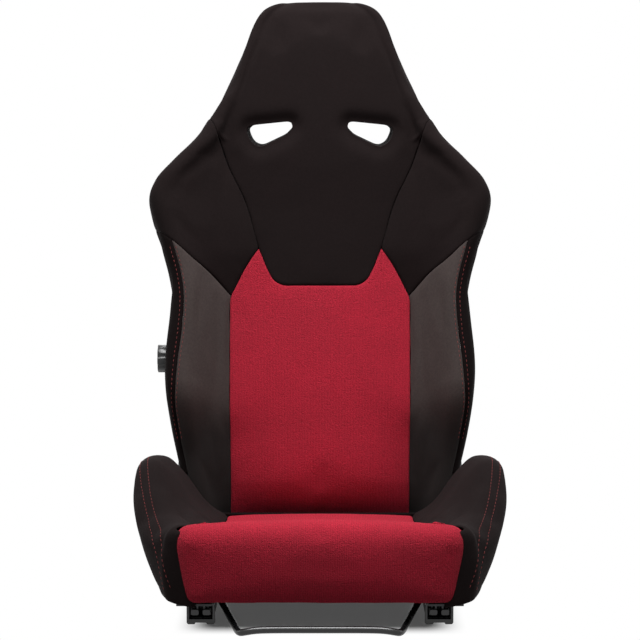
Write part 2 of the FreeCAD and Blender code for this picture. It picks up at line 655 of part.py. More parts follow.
def lever_end():
    return PIVOT_Y - LEVER_LENGTH, PIVOT_Z - LEVER_DROP


def lever_blade():
    """The lever's flat arm, outside the left cover."""
    pivot = (PIVOT_Y, PIVOT_Z)
    return link(pivot, LEVER_HUB_RADIUS, lever_end(), LEVER_TIP_RADIUS, -LEVER_X - LEVER_SHEET, -LEVER_X)


def recline_lever():
    """The lever on the left, welded to the cross rod that turns both recliners."""
    rod = rod_x(-LEVER_X, COVER_X + ROD_END, PIVOT_Y, PIVOT_Z, ROD_RADIUS)
    return rod.fuse(lever_blade()).removeSplitter()


def recline_grip():
    """The moulded grip pushed over the lever's blade."""
    end_y, end_z = lever_end()
    root = (end_y + GRIP_LENGTH, end_z + LEVER_DROP * GRIP_LENGTH / LEVER_LENGTH)
    middle = -(LEVER_X + LEVER_SHEET / 2)
    grip = link((end_y, end_z), GRIP_WIDTH / 2, root, GRIP_ROOT_RADIUS, middle - GRIP_THICKNESS / 2,
                middle + GRIP_THICKNESS / 2)
    return grip.cut(lever_blade())


def nose_outline():
    """Top view of the red panel: straight sides that flare by arcs to the full-width front roll."""
    along = 1 - math.cos(math.radians(45))
    middle_x = PANEL_HALF_WIDTH + along * (NOSE_HALF_WIDTH - PANEL_HALF_WIDTH)
    middle_y = NOSE_BACK + along * (FLARE_START - NOSE_BACK)
    far_y = CUSHION_FRONT - CUT_MARGIN
    rear_y = CUSHION_REAR + CUT_MARGIN
    right = [Vector(PANEL_HALF_WIDTH, rear_y, 0), Vector(PANEL_HALF_WIDTH, FLARE_START, 0),
             Vector(middle_x, middle_y, 0), Vector(NOSE_HALF_WIDTH, NOSE_BACK, 0),
             Vector(NOSE_HALF_WIDTH, far_y, 0)]
    left = [Vector(-point.x, point.y, 0) for point in right]
    edges = [curve.toShape() for curve in
             (Part.LineSegment(right[0], right[1]), Part.Arc(right[1], right[2], right[3]),
              Part.LineSegment(right[3], right[4]), Part.LineSegment(right[4], left[4]),
              Part.LineSegment(left[4], left[3]), Part.Arc(left[3], left[2], left[1]),
              Part.LineSegment(left[1], left[0]), Part.LineSegment(left[0], right[0]))]
    return Part.Face(Part.Wire(edges)).extrude(Vector(0, 0, REACH))


def cushion_master():
    """The whole cushion before its cover panels are parted, with the hollow for the seat frame."""
    outlines = (CREST_Z, RIDGE_X, RIDGE_Z, OUTER_X, SKIRT_X, SKIRT_Z)
    crest, ridge_x, ridge_z, outer_x, skirt_x, skirt_z = [curve_through(points) for points in outlines]
    sections = []
    for y in CUSHION_STATIONS:
        def place(x, z, y=y):
            return Vector(x, y, z)
        top = crest(y)
        valley = (PANEL_HALF_WIDTH, top - CROWN * PANEL_HALF_WIDTH)
        sections.append(padded_section(place, top, valley, (ridge_x(y), ridge_z(y)), outer_x(y) - ridge_x(y),
                                       (skirt_x(y), skirt_z(y))))
    solid = Part.makeLoft(sections, True, True)
    y0, y1 = CAVITY_FRONT, CUSHION_REAR + OVERCUT
    z0, z1 = pan_height(y0) + PAD_CLEARANCE, pan_height(y1) + PAD_CLEARANCE
    hollow = prism_x([(y0, 0), (y1, 0), (y1, z1), (y0, z0)], -CAVITY_HALF_WIDTH, CAVITY_HALF_WIDTH)
    rise = FRAME_SLOT_RISE
    slots = [prism_x([(y0, 0), (y1, 0), (y1, z1 + rise), (y0, z0 + rise)], side * FRAME_SLOT_X,
                     side * CAVITY_HALF_WIDTH) for side in (-1, 1)]
    return solid.cut(Part.makeCompound([hollow] + slots))


def back_block(u0, u1, w0, w1, t0, t1):
    """A block square to the backrest."""
    return back_prism([(u0, w0), (u1, w0), (u1, w1), (u0, w1)], t0, t1)


def back_prism(points, t0, t1):
    """A prism along the backrest's forward direction, from a (u, w) outline."""
    face = polygon([on_back(u, w, t0) for u, w in points])
    return face.extrude(FORWARD * (t1 - t0))


def both_sides(points):
    """Close a right half outline, given from its lower to its upper end, with its mirror image."""
    return list(points) + [(-u, w) for u, w in reversed(points) if u != 0]


def slot_tunnels():
    """The harness slots, cut level through the sloping back."""
    reach = Vector(0, REACH, 0)
    tunnels = []
    for side in (-1, 1):
        corners = [on_back(side * u, w, SLOT_PLANE) - reach / 2 for u, w in SLOT_CORNERS]
        tunnel = polygon(corners).extrude(reach)
        along = [edge for edge in tunnel.Edges if edge.BoundBox.YLength > reach.y / 2]
        tunnels.append(tunnel.makeFillet(SLOT_ROUNDING, along))
    return Part.makeCompound(tunnels)


def back_master():
    """The whole front padding of the backrest before its cover panels are parted."""
    edge, valley, center, ridge, inset = [curve_through(points) for points in
                                          (BACK_EDGE, BACK_VALLEY, BACK_CENTER, BACK_RIDGE, RIDGE_INSET)]
    sections = []
    for w in BACK_STATIONS:
        def place(u, t, w=w):
            return on_back(u, w, t)
        half = edge(w)
        depth = ridge(w)
        ridge_u = half - inset(w)
        valley_u = min(valley(w), ridge_u - VALLEY_GAP)
        valley_point = (valley_u, center(w) - CROWN * valley_u)
        sections.append(padded_section(place, center(w), valley_point, (ridge_u, depth), inset(w),
                                       (half - SHELL_INSET + SHELL_LAP, 0)))
    solid = Part.makeLoft(sections, True, True)
    neck_room = KNOB_NECK_RADIUS + 2 * KNOB_CLEARANCE
    spaces = [back_rod(-REACH, REACH, 0, 0, ROD_RADIUS + ROD_SPACE),
              back_rod(-REACH, -NOTCH_HALF_WIDTH, LUMBAR_HEIGHT, LUMBAR_DEPTH, neck_room),
              back_block(-PLATE_HALF_WIDTH - POCKET_MARGIN, PLATE_HALF_WIDTH + POCKET_MARGIN,
                         LUMBAR_HEIGHT - PLATE_HEIGHT / 2 - POCKET_MARGIN,
                         LUMBAR_HEIGHT + PLATE_HEIGHT / 2 + POCKET_MARGIN, -OVERCUT, POCKET_DEPTH)]
    front = center(0) + BOLSTER_FRONT_LIFT
    toe = back_rod(-REACH, REACH, 0, 0, BOLSTER_TOE_RADIUS)
    for side in (-1, 1):
        outer = side * REACH
        spaces.append(back_rod(*sorted((side * NOTCH_HALF_WIDTH, outer)), 0, 0, NOTCH_RADIUS))
        for inner, rear in ((BOLSTER_FOOT_X, center(BACK_BOTTOM)), (NOTCH_HALF_WIDTH, -OVERCUT)):
            under = [(rear, BACK_BOTTOM - OVERCUT), (REACH, BACK_BOTTOM - OVERCUT),
                     (REACH, BOLSTER_BOTTOM + (REACH - front) * BOLSTER_SLOPE), (front, BOLSTER_BOTTOM),
                     (rear, BOLSTER_BOTTOM)]
            foot = polygon([on_back(side * inner, w, t) for t, w in under])
            foot = foot.extrude(Vector(outer - side * inner, 0, 0))
            spaces.append(foot.cut(toe) if inner == BOLSTER_FOOT_X else foot)
    return solid.cut(Part.makeCompound(spaces))


def back_regions():
    """Outlines that part the backrest's cover along its seams."""
    low = BACK_BOTTOM - CUT_MARGIN
    high = BACK_TOP + CUT_MARGIN
    panel = [(PANEL_HALF_WIDTH, low)] + list(PANEL_SEAM) + list(PANEL_SPIKE[1:])
    chest = [(0, PANEL_SPIKE[-1][1])] + list(reversed(PANEL_SPIKE[:-1])) + list(CHEST_SEAM[1:])
    chest += [(CHEST_SEAM[-1][0], high)]
    shoulder = [SHOULDER_SEAM[0]] + list(PANEL_SEAM[1:]) + list(CHEST_SEAM[1:])
    shoulder += [(REACH, CHEST_SEAM[-1][1])] + list(reversed(SHOULDER_SEAM[1:]))
    bolster = [(PANEL_HALF_WIDTH, low), (REACH, low)] + list(reversed(SHOULDER_SEAM)) + [PANEL_SEAM[0]]
    return panel, chest, shoulder, bolster


def shell_section(half, depth, corner, w):
    """One section of the rear cover: flat back, rounded corners, straight sides up to the padding."""
    dent = corner * (1 - math.cos(math.radians(45)))
    right = [on_back(half, w, 0), on_back(half, w, corner - depth), on_back(half - dent, w, dent - depth),
             on_back(half - corner, w, -depth)]
    left = [Vector(-point.x, point.y, point.z) for point in right]
    return Part.Wire([curve.toShape() for curve in
                      (Part.LineSegment(left[0], right[0]), Part.LineSegment(right[0], right[1]),
                       Part.Arc(right[1], right[2], right[3]), Part.LineSegment(right[3], left[3]),
                       Part.Arc(left[3], left[2], left[1]), Part.LineSegment(left[1], left[0]))])


def shell_body(inset):
    """The rear cover's outside, or its inside where inset is the wall."""
    edge = curve_through(BACK_EDGE)
    low = SHELL_BOTTOM + inset
    high = BACK_TOP - SHELL_INSET - inset
    sections = []
    for w in [low] + [w for w in BACK_STATIONS if low + SHELL_CORNER < w < high] + [high]:
        depth = SHELL_TOP_DEPTH if w == high else SHELL_DEPTH
        sections.append(shell_section(edge(w) - SHELL_INSET - inset, depth - inset, SHELL_CORNER - inset, w))
    return Part.makeLoft(sections, True, True)


def rear_shell():
    """The upholstered rear cover of the backrest: an open tray with rounded edges."""
    shell = shell_body(0).cut(shell_body(SHELL_WALL))
    foot = FRAME_TUBE_DIAMETER / 2 + SHELL_SPACE
    openings = [slot_tunnels(), back_rod(-REACH, -NOTCH_HALF_WIDTH, LUMBAR_HEIGHT, LUMBAR_DEPTH,
                                         KNOB_NECK_RADIUS + KNOB_CLEARANCE)]
    for side in (-1, 1):
        u0, u1 = sorted((side * (UPRIGHT_X - foot), side * (UPPER_DISC_X + OVERCUT)))
        openings.append(back_block(u0, u1, SHELL_BOTTOM - OVERCUT, SHELL_BOTTOM + SHELL_WALL + OVERCUT,
                                   SHELL_WALL - SHELL_DEPTH, OVERCUT))
    return shell.cut(Part.makeCompound(openings))


def frame_runs():
    """Corners of the right half of the backrest's tube, from its foot to the top bar."""
    return ((UPRIGHT_X, LOWER_TUBE_HEIGHT - FRAME_TUBE_DIAMETER / 2), (UPRIGHT_X, FRAME_SHOULDER),
            (FRAME_TOP_X, FRAME_TOP))


def backrest_frame():
    """The bent tube of the backrest, an upturned U with drawn-in shoulders."""
    points = [on_back(u, w, FRAME_TUBE_DEPTH) for u, w in frame_runs()]
    points += [Vector(-point.x, point.y, point.z) for point in reversed(points)]
    return bent_tube(points, [FRAME_BEND_RADIUS] * (len(points) - 2), FRAME_TUBE_DIAMETER / 2)


def tube_middle(w):
    """How far out the tube's middle line is at a height up the back."""
    runs = frame_runs()
    for (u0, w0), (u1, w1) in zip(runs, runs[1:]):
        if w0 <= w <= w1:
            return u0 + (u1 - u0) * (w - w0) / (w1 - w0)
    return runs[-1][0]


def back_straps():
    """Elastic webbing across the backrest, bent back at its ends onto the tube."""
    front = -PLATE_GAP
    seat = FRAME_TUBE_DEPTH + FRAME_TUBE_DIAMETER / 2
    straps = []
    for w in BACK_STRAP_HEIGHTS:
        half = tube_middle(w) + STRAP_HOOK / 2
        outline = [(-half, seat), (-half, front), (half, front), (half, seat), (half - STRAP_HOOK, seat),
                   (half - STRAP_HOOK, front - BACK_STRAP_THICKNESS),
                   (STRAP_HOOK - half, front - BACK_STRAP_THICKNESS), (STRAP_HOOK - half, seat)]
        low = w - BACK_STRAP_WIDTH / 2
        face = polygon([on_back(u, low, t) for u, t in outline])
        straps.append(face.extrude(UPWARD * BACK_STRAP_WIDTH))
    return Part.makeCompound(straps)


def lumbar_bracket():
    """A strip across the tube's uprights with two guide slots, and two bearings for the shaft."""
    seat = FRAME_TUBE_DEPTH + FRAME_TUBE_DIAMETER / 2
    w = LUMBAR_HEIGHT + GUIDE_OFFSET
    strip = back_block(-UPRIGHT_X, UPRIGHT_X, w - BRACKET_STRIP / 2, w + BRACKET_STRIP / 2, seat,
                       seat + BRACKET_STRIP_SHEET)
    strip = strip.cut(Part.makeCompound(guide_tabs(PIN_CLEARANCE)))
    bearings = []
    for side in (-1, 1):
        u0, u1 = side * UPRIGHT_X - BEARING_WIDTH / 2, side * UPRIGHT_X + BEARING_WIDTH / 2
        block = back_block(u0, u1, LUMBAR_HEIGHT - BEARING_HEIGHT / 2, LUMBAR_HEIGHT + BEARING_HEIGHT / 2,
                           seat, -PLATE_GAP)
        bore = back_rod(u0, u1, LUMBAR_HEIGHT, LUMBAR_DEPTH, LUMBAR_SHAFT_RADIUS + PIN_CLEARANCE)
        bearings.append(block.cut(bore))
    return Part.makeCompound([strip] + bearings)


def guide_tabs(clearance):
    """The two flat tabs that keep the lumbar plate square to the back."""
    w = LUMBAR_HEIGHT + GUIDE_OFFSET
    rear = LUMBAR_DEPTH + CAM_BASE + PLATE_GAP
    half_width = GUIDE_WIDTH / 2 + clearance
    half_sheet = GUIDE_SHEET / 2 + clearance
    return [back_block(side * GUIDE_X - half_width, side * GUIDE_X + half_width, w - half_sheet,
                       w + half_sheet, rear - GUIDE_LENGTH, rear)
            for side in (-1, 1)]


def lumbar_plate():
    """The plate behind the back panel, with two guide tabs in the bracket."""
    rear = LUMBAR_DEPTH + CAM_BASE + PLATE_GAP
    plate = back_block(-PLATE_HALF_WIDTH, PLATE_HALF_WIDTH, LUMBAR_HEIGHT - PLATE_HEIGHT / 2,
                       LUMBAR_HEIGHT + PLATE_HEIGHT / 2, rear, rear + PLATE_THICKNESS)
    corners = [edge for edge in plate.Edges if edge.Length < 2 * PLATE_THICKNESS]
    return plate.makeFillet(PLATE_CORNER, corners).fuse(guide_tabs(0)).removeSplitter()


def lumbar_cam(u):
    """A cam whose flat-faced follower rises evenly with its angle: arcs along an involute, and its back."""
    per_radian = LUMBAR_TRAVEL / math.pi
    points = []
    for step in range(2 * CAM_ARCS + 1):
        angle = math.pi * step / (2 * CAM_ARCS)
        lift = CAM_BASE + per_radian * angle
        w = LUMBAR_HEIGHT - lift * math.sin(angle) - per_radian * math.cos(angle)
        t = LUMBAR_DEPTH + lift * math.cos(angle) - per_radian * math.sin(angle)
        points.append(on_back(u - CAM_WIDTH / 2, w, t))
    edges = [Part.Arc(*points[start:start + 3]).toShape() for start in range(0, 2 * CAM_ARCS, 2)]
    heel = on_back(u - CAM_WIDTH / 2, LUMBAR_HEIGHT + CAM_HEEL + per_radian, LUMBAR_DEPTH - CAM_BASE)
    edges.append(Part.Arc(points[-1], heel, points[0]).toShape())
    return Part.Face(Part.Wire(edges)).extrude(Vector(CAM_WIDTH, 0, 0))


def lumbar_shaft():
    """The shaft behind the lumbar plate, with its two cams."""
    shaft = back_rod(KNOB_NECK - knob_place(), UPRIGHT_X + BEARING_WIDTH / 2, LUMBAR_HEIGHT, LUMBAR_DEPTH,
                     LUMBAR_SHAFT_RADIUS)
    return shaft.fuse([lumbar_cam(-CAM_X), lumbar_cam(CAM_X)]).removeSplitter()


def knob_place():
    """How far out the knob's inner face stands, just clear of the padding's side."""
    return curve_through(BACK_EDGE)(LUMBAR_HEIGHT) + KNOB_GAP


def lumbar_knob():
    """The fluted knob, and its neck through the cover."""
    inner = -knob_place()
    radius = KNOB_DIAMETER / 2
    drum = back_rod(inner - KNOB_LENGTH, inner, LUMBAR_HEIGHT, LUMBAR_DEPTH, radius)
    distance = radius + FLUTE_RADIUS - FLUTE_DEPTH
    flutes = []
    for index in range(KNOB_FLUTES):
        angle = 2 * math.pi * index / KNOB_FLUTES
        flutes.append(back_rod(inner - KNOB_LENGTH, inner, LUMBAR_HEIGHT + distance * math.sin(angle),
                               LUMBAR_DEPTH + distance * math.cos(angle), FLUTE_RADIUS))
    neck = back_rod(inner, inner + KNOB_NECK, LUMBAR_HEIGHT, LUMBAR_DEPTH, KNOB_NECK_RADIUS)
    return drum.cut(Part.makeCompound(flutes)).fuse(neck).removeSplitter()


PARTS = {}


def build():
    rail = lower_rail()
    upper = upper_rail()
    frame = side_frame()
    for name, side in SIDES:
        PARTS[name + "_lower_rail"] = for_side(rail, side)
        PARTS[name + "_upper_rail"] = for_side(upper, side)
        PARTS[name + "_side_frame"] = for_side(frame, side)
    PARTS["rail_end_stops"] = rail_end_stops()
    PARTS["roller_cages"] = roller_cages()
    PARTS["rail_rollers"] = rail_rollers()
    PARTS["front_cross_tube"] = cross_tube(FRONT_TUBE_Y, FRONT_TUBE_Z)
    PARTS["rear_cross_tube"] = cross_tube(REAR_TUBE_Y, REAR_TUBE_Z)
    PARTS["seat_straps"] = seat_straps()
    cushion = cushion_master()
    nose = nose_outline()
    PARTS["cushion_center_pad"] = cushion.common(nose)
    bolsters = cushion.cut(nose)
    for name, side in SIDES:
        PARTS[name + "_cushion_bolster"] = bolsters.common(side_box(side, 0, REACH, -REACH, REACH, 0, REACH))
    back = back_master()
    panel, chest, shoulder, bolster = back_regions()
    PARTS["back_center_pad"] = back.common(back_prism(both_sides(panel), *SEAM_CUT))
    PARTS["head_chest_pad"] = back.common(back_prism(both_sides(chest), *SEAM_CUT)).cut(slot_tunnels())
    for name, side in SIDES:
        for piece, region in (("_shoulder_pad", shoulder), ("_back_bolster", bolster)):
            outline = [(side * u, w) for u, w in region]
            PARTS[name + piece] = back.common(back_prism(outline, *SEAM_CUT))
    PARTS["rear_shell"] = rear_shell()
    tube = backrest_frame()
    PARTS["backrest_frame"] = tube
    PARTS["backrest_lower_tube"] = back_rod(-UPRIGHT_X, UPRIGHT_X, LOWER_TUBE_HEIGHT, FRAME_TUBE_DEPTH,
                                            LOWER_TUBE_DIAMETER / 2).cut(tube)
    bar_end = tube_middle(HARNESS_BAR_HEIGHT)
    PARTS["harness_bar"] = back_rod(-bar_end, bar_end, HARNESS_BAR_HEIGHT, FRAME_TUBE_DEPTH,
                                    HARNESS_BAR_DIAMETER / 2).cut(tube)
    PARTS["back_straps"] = back_straps()
    PARTS["backrest_side_plates"] = pair(backrest_side_plate())
    PARTS["recliner_arms"] = pair(recliner_arm())
    opening = rod_x(-(COVER_X + COVER_DEPTH + OVERCUT), -COVER_X, PIVOT_Y, PIVOT_Z, ROD_HOLE_RADIUS)
    PARTS["recliner_covers"] = pair(recliner_cover()).cut(opening)
    PARTS["latch_brackets"] = pair(latch_bracket())
    latch = latch_plate()
    for name, side in SIDES:
        PARTS[name + "_latch"] = for_side(latch, side)
    PARTS["slide_handle"] = slide_handle()
    PARTS["recline_lever"] = recline_lever()
    PARTS["recline_grip"] = recline_grip()
    PARTS["lumbar_bracket"] = lumbar_bracket()
    PARTS["lumbar_plate"] = lumbar_plate()
    PARTS["lumbar_shaft"] = lumbar_shaft()
    PARTS["lumbar_knob"] = lumbar_knob()


os.makedirs("parts", exist_ok=True)
build()
for node, shape in PARTS.items():
    shape.exportStep("parts/" + node + ".step")
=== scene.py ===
import logging
import math
from dataclasses import dataclass, field
from enum import Enum
from functools import lru_cache
from typing import Callable, Sequence

import bmesh
import bpy
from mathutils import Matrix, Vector, noise
from mathutils.bvhtree import BVHTree
from mathutils.kdtree import KDTree


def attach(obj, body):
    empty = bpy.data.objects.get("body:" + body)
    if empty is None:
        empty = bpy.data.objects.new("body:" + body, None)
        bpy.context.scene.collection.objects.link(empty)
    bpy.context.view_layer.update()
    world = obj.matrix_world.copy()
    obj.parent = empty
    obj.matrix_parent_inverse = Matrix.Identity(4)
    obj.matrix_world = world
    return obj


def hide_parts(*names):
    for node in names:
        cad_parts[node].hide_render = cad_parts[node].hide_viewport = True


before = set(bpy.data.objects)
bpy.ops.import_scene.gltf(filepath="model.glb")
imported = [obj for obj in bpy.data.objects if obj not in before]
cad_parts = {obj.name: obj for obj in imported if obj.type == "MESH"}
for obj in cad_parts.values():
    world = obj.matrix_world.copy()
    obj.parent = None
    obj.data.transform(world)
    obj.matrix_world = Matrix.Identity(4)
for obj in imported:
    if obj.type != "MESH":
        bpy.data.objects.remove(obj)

LOG = logging.getLogger("seat")

# Outlines are in millimetres, as a seat maker would draw them. Everything in the scene is in metres.
MM = 0.001

Outline = Sequence[tuple[float, float]]

# The recliner's axis in millimetres, and how far the back leans at rest
PIVOT = Vector((0.0, 215.0, 135.0))
LEAN = math.radians(18.0)
SIDES = (("left", -1), ("right", 1))

# Millimetres that a whole half section counts for where a seam's length is measured
SHARE_LENGTH = 400.0


class Weave(Enum):
    """Ways that a cover's yarn shows on its face."""

    KNIT = "knit"
    SUEDE = "suede"
    VELOUR = "velour"


class SmoothCurve:
    """A smooth curve through a few points that stays between neighbouring values."""

    def __init__(self, points: Outline) -> None:
        """Work out the slopes at the points.

        Args:
            points: Places and values, with the places rising.
        """
        self.places = [float(place) for place, _ in points]
        self.values = [float(value) for _, value in points]
        steps = [b - a for a, b in zip(self.places, self.places[1:])]
        rises = [(b - a) / step for a, b, step in zip(self.values, self.values[1:], steps)]
        self.slopes = [rises[0]]
        for before, after in zip(rises, rises[1:]):
            self.slopes.append(0.0 if before * after <= 0 else 2 * before * after / (before + after))
        self.slopes.append(rises[-1])

    def __call__(self, place: float) -> float:
        """Give the curve's value at a place.

        Args:
            place: Where to read the curve.

        Returns:
            The value there.
        """
        index = 0
        while index < len(self.places) - 2 and place > self.places[index + 1]:
            index += 1
        step = self.places[index + 1] - self.places[index]
        s = min(max((place - self.places[index]) / step, 0.0), 1.0)
        return (self.values[index] * (1 + 2 * s) * (1 - s) ** 2 + self.slopes[index] * step * s * (1 - s) ** 2
                + self.values[index + 1] * s * s * (3 - 2 * s) + self.slopes[index + 1] * step * s * s * (s - 1))


def polyline_at(points: Sequence[Vector], share: float) -> Vector:
    """Give the point at a share of a line's length.

    Args:
        points: Corners of the line.
        share: 0 at its start and 1 at its end.

    Returns:
        The point there.
    """
    lengths = [(b - a).length for a, b in zip(points, points[1:])]
    left = share * sum(lengths)
    for a, b, length in zip(points, points[1:], lengths):
        if left <= length or b is points[-1]:
            return a.lerp(b, min(left / length, 1.0) if length else 0.0)
        left -= length
    return points[-1].copy()


def on_back(side: float, rise: float, depth: float) -> Vector:
    """Give a place on the backrest, in metres.

    Args:
        side: Millimetres to the right of the middle.
        rise: Millimetres up the back from the recliner's axis.
        depth: Millimetres forward of the back's rear plane.

    Returns:
        The place in the scene.
    """
    y = PIVOT.y + rise * math.sin(LEAN) - depth * math.cos(LEAN)
    z = PIVOT.z + rise * math.cos(LEAN) + depth * math.sin(LEAN)
    return Vector((side, y, z)) * MM


@dataclass(frozen=True)
class Profile:
    """Half of a pad's section, in even steps from the middle to the foot of its side."""

    points: tuple[tuple[float, float], ...]

    def at(self, share: float) -> tuple[float, float]:
        """Give the side and height at a share of the half section.

        Args:
            share: 0 in the middle and 1 at the foot of the side.

        Returns:
            The side and height there.
        """
        place = min(max(share, 0.0), 1.0) * (len(self.points) - 1)
        index = min(int(place), len(self.points) - 2)
        part = place - index
        (x0, y0), (x1, y1) = self.points[index], self.points[index + 1]
        return x0 + (x1 - x0) * part, y0 + (y1 - y0) * part

    def share_at(self, side: float) -> float:
        """Give the share at which the section first reaches a place to the side.

        Args:
            side: Millimetres from the middle.

        Returns:
            The share.
        """
        for index, ((x0, _), (x1, _)) in enumerate(zip(self.points, self.points[1:])):
            if x1 >= side:
                return (index + (side - x0) / max(x1 - x0, 1e-6)) / (len(self.points) - 1)
        return 1.0

    def share_down_at(self, height: float) -> float:
        """Give the share at which the section's outer side comes down to a height.

        Args:
            height: The height in millimetres.

        Returns:
            The share.
        """
        for index in range(len(self.points) - 1, 0, -1):
            high, low = self.points[index - 1][1], self.points[index][1]
            if high >= height:
                return (index - 1 + (high - height) / max(high - low, 1e-6)) / (len(self.points) - 1)
        return 0.0


# Steps of a finished half section, and runs of its crown or slope, of its rounded top and of its side
PROFILE_STEPS = 120
CROWN_RUNS = 12
TOP_RUNS = 16
SIDE_RUNS = 8
# How far the slope's ends lead on, as a share of its length, and how steep they are beside the slope itself
LEAD = 0.4
LOW_CLIMB = 0.55
HIGH_CLIMB = 1.35


def evened(line: Sequence[Vector]) -> Profile:
    """Divide a line into a half section's even steps."""
    even = [polyline_at(line, k / PROFILE_STEPS) for k in range(PROFILE_STEPS + 1)]
    return Profile(tuple((p.x, p.y) for p in even))


def bolster_profile(middle: float, valley: tuple[float, float], ridge: tuple[float, float], roundness: float,
                    foot: tuple[float, float], bow: float = 0.06, turn: float = 50.0) -> Profile:
    """Draw half of a bolstered pad's section: crowned middle, rising slope, rounded top, side.

    Args:
        middle: Height in the middle.
        valley: Side and height where the slope begins.
        ridge: Side and height of the bolster's highest point.
        roundness: Radius of its rounded top.
        foot: Side and height where its side ends.
        bow: How far the side swells out, as a share of its length.
        turn: How far round the top goes towards the middle, in degrees.

    Returns:
        The half section.
    """
    def bead(degrees: float) -> Vector:
        """Give a point of the rounded top, by its degrees outward from the highest place."""
        angle = math.radians(degrees)
        return Vector((ridge[0] + roundness * math.sin(angle), ridge[1] - roundness * (1 - math.cos(angle))))

    line = [Vector((valley[0] * k / CROWN_RUNS, middle - (middle - valley[1]) * (k / CROWN_RUNS) ** 3))
            for k in range(CROWN_RUNS + 1)]
    start, end = Vector(valley), bead(-turn)
    reach = (end - start).length * LEAD
    climb = math.atan2(end.y - start.y, end.x - start.x)
    first = start + Vector((math.cos(climb * LOW_CLIMB), math.sin(climb * LOW_CLIMB))) * reach
    rise = min(math.radians(turn), climb * HIGH_CLIMB) if climb > 0 else climb
    second = end - Vector((math.cos(rise), math.sin(rise))) * reach
    for k in range(1, CROWN_RUNS + 1):
        s = k / CROWN_RUNS
        line.append(start * (1 - s) ** 3 + first * 3 * s * (1 - s) ** 2 + second * 3 * s * s * (1 - s) + end * s ** 3)
    line += [bead(-turn + (turn + 90.0) * k / TOP_RUNS) for k in range(1, TOP_RUNS + 1)]
    last = line[-1]
    base = Vector(foot)
    swell = (base - last).length * bow
    line += [last.lerp(base, k / SIDE_RUNS) + Vector((swell * math.sin(math.pi * k / SIDE_RUNS), 0))
             for k in range(1, SIDE_RUNS + 1)]
    return evened(line)


class PaddedSurface:
    """The outside of a bolstered pad: a share of the half section to the side, and a station along it."""

    def profile(self, station: float) -> Profile:
        """Give the half section at a station."""
        raise NotImplementedError

    def place(self, side: float, height: float, station: float) -> Vector:
        """Turn a section's point into a place in the scene."""
        raise NotImplementedError

    def point(self, share: float, station: float) -> Vector:
        """Give the place at a signed share of the section, negative on the left."""
        side, height = self.profile(round(station, 2)).at(abs(share))
        return self.place(math.copysign(side, share), height, station)

    def share_at(self, side: float, station: float) -> float:
        """Give the share at which the section reaches a place to the side."""
        return self.profile(round(station, 2)).share_at(side)


# How far outward_at looks to the side, as a share, and along, as a station
SIDE_LOOK, ALONG_LOOK = 0.004, 1.0


def outward_at(spot: Callable[[float, float], Vector], share: float, station: float, turn: int) -> Vector:
    """Give a surface's direction at a place.

    Args:
        spot: Where a share and station lie.
        share: The place's share.
        station: Its station.
        turn: 1 where stations climb as seen from outside, and -1 where they descend.

    Returns:
        The unit direction that leads out of the pad.
    """
    here = spot(share, station)
    across = spot(share + SIDE_LOOK, station) - here
    along = spot(share, station + ALONG_LOOK) - here
    return across.cross(along).normalized() * turn


@dataclass(frozen=True)
class BackSurface(PaddedSurface):
    """The backrest's front padding. Its stations are heights up the back."""

    edge: Outline = ((-60, 212), (21, 228), (100, 243), (179, 250), (300, 240), (376, 257), (434, 276), (462, 281),
                     (487, 273), (526, 243), (568, 207), (610, 182), (665, 156), (735, 130), (786, 110), (808, 95),
                     (825, 70))
    valley: Outline = ((-50, 148), (293, 148), (344, 125), (381, 102), (453, 121), (566, 163), (665, 132), (821, 44))
    center: Outline = ((-72, -4), (-58, 8), (-40, 24), (-20, 38), (0, 47), (30, 51.5), (60, 53), (180, 56), (300, 55),
                       (450, 58), (600, 62), (720, 60), (786, 52), (823, 40))
    ridge: Outline = ((-72, 26), (-50, 40), (-25, 50), (0, 56), (30, 63), (60, 75), (85, 89), (105, 101), (125, 110),
                      (150, 115), (300, 112), (430, 112), (487, 108), (540, 95), (580, 80), (620, 68), (665, 61),
                      (735, 56), (786, 49), (823, 38))
    sunk: Outline = ((-72, 2), (0, 20), (60, 13), (125, 0), (823, 0))
    inset: Outline = ((-50, 20), (180, 24), (300, 21), (480, 24), (600, 18), (700, 14), (821, 10))
    side_inset: float = 5.0
    crown: float = 0.02
    slope_width: float = 12.0
    bow: float = 0.06
    roll_start: float = 790.0
    roll_end: float = 825.7
    roll_power: float = 2.6
    top: float = 825.0

    @lru_cache(maxsize=None)
    def curves(self) -> tuple[SmoothCurve, ...]:
        """Give the outlines as smooth curves."""
        return tuple(SmoothCurve(points) for points in (self.edge, self.valley, self.center, self.ridge, self.inset,
                                                        self.sunk))

    @lru_cache(maxsize=None)
    def profile(self, station: float) -> Profile:
        """Give the half section at a height up the back.

        Args:
            station: The height up the back.

        Returns:
            The half section there.
        """
        edge, valley, center, ridge, inset, sunk = [curve(station) for curve in self.curves()]
        roundness = min(inset, ridge - 1.0)
        ridge_side = edge - roundness
        valley_side = min(valley, ridge_side - self.slope_width)
        upright = 1 - self.rolled(station)
        low = center - self.crown * valley_side - sunk
        return bolster_profile(center, (valley_side, low), (ridge_side, ridge), roundness,
                               (edge - self.side_inset * upright, 0.0), self.bow * upright)

    def rolled(self, station: float) -> float:
        """Give how far the head's top has rolled over, from 0 to 1."""
        return min(max(0.0, (station - self.roll_start) / (self.roll_end - self.roll_start)), 1.0)

    def place(self, side: float, height: float, station: float) -> Vector:
        """Put a section's point on the leaning back, rolled over at the head's top."""
        return on_back(side, station, height * math.sqrt(max(0.0, 1 - self.rolled(station) ** self.roll_power)))


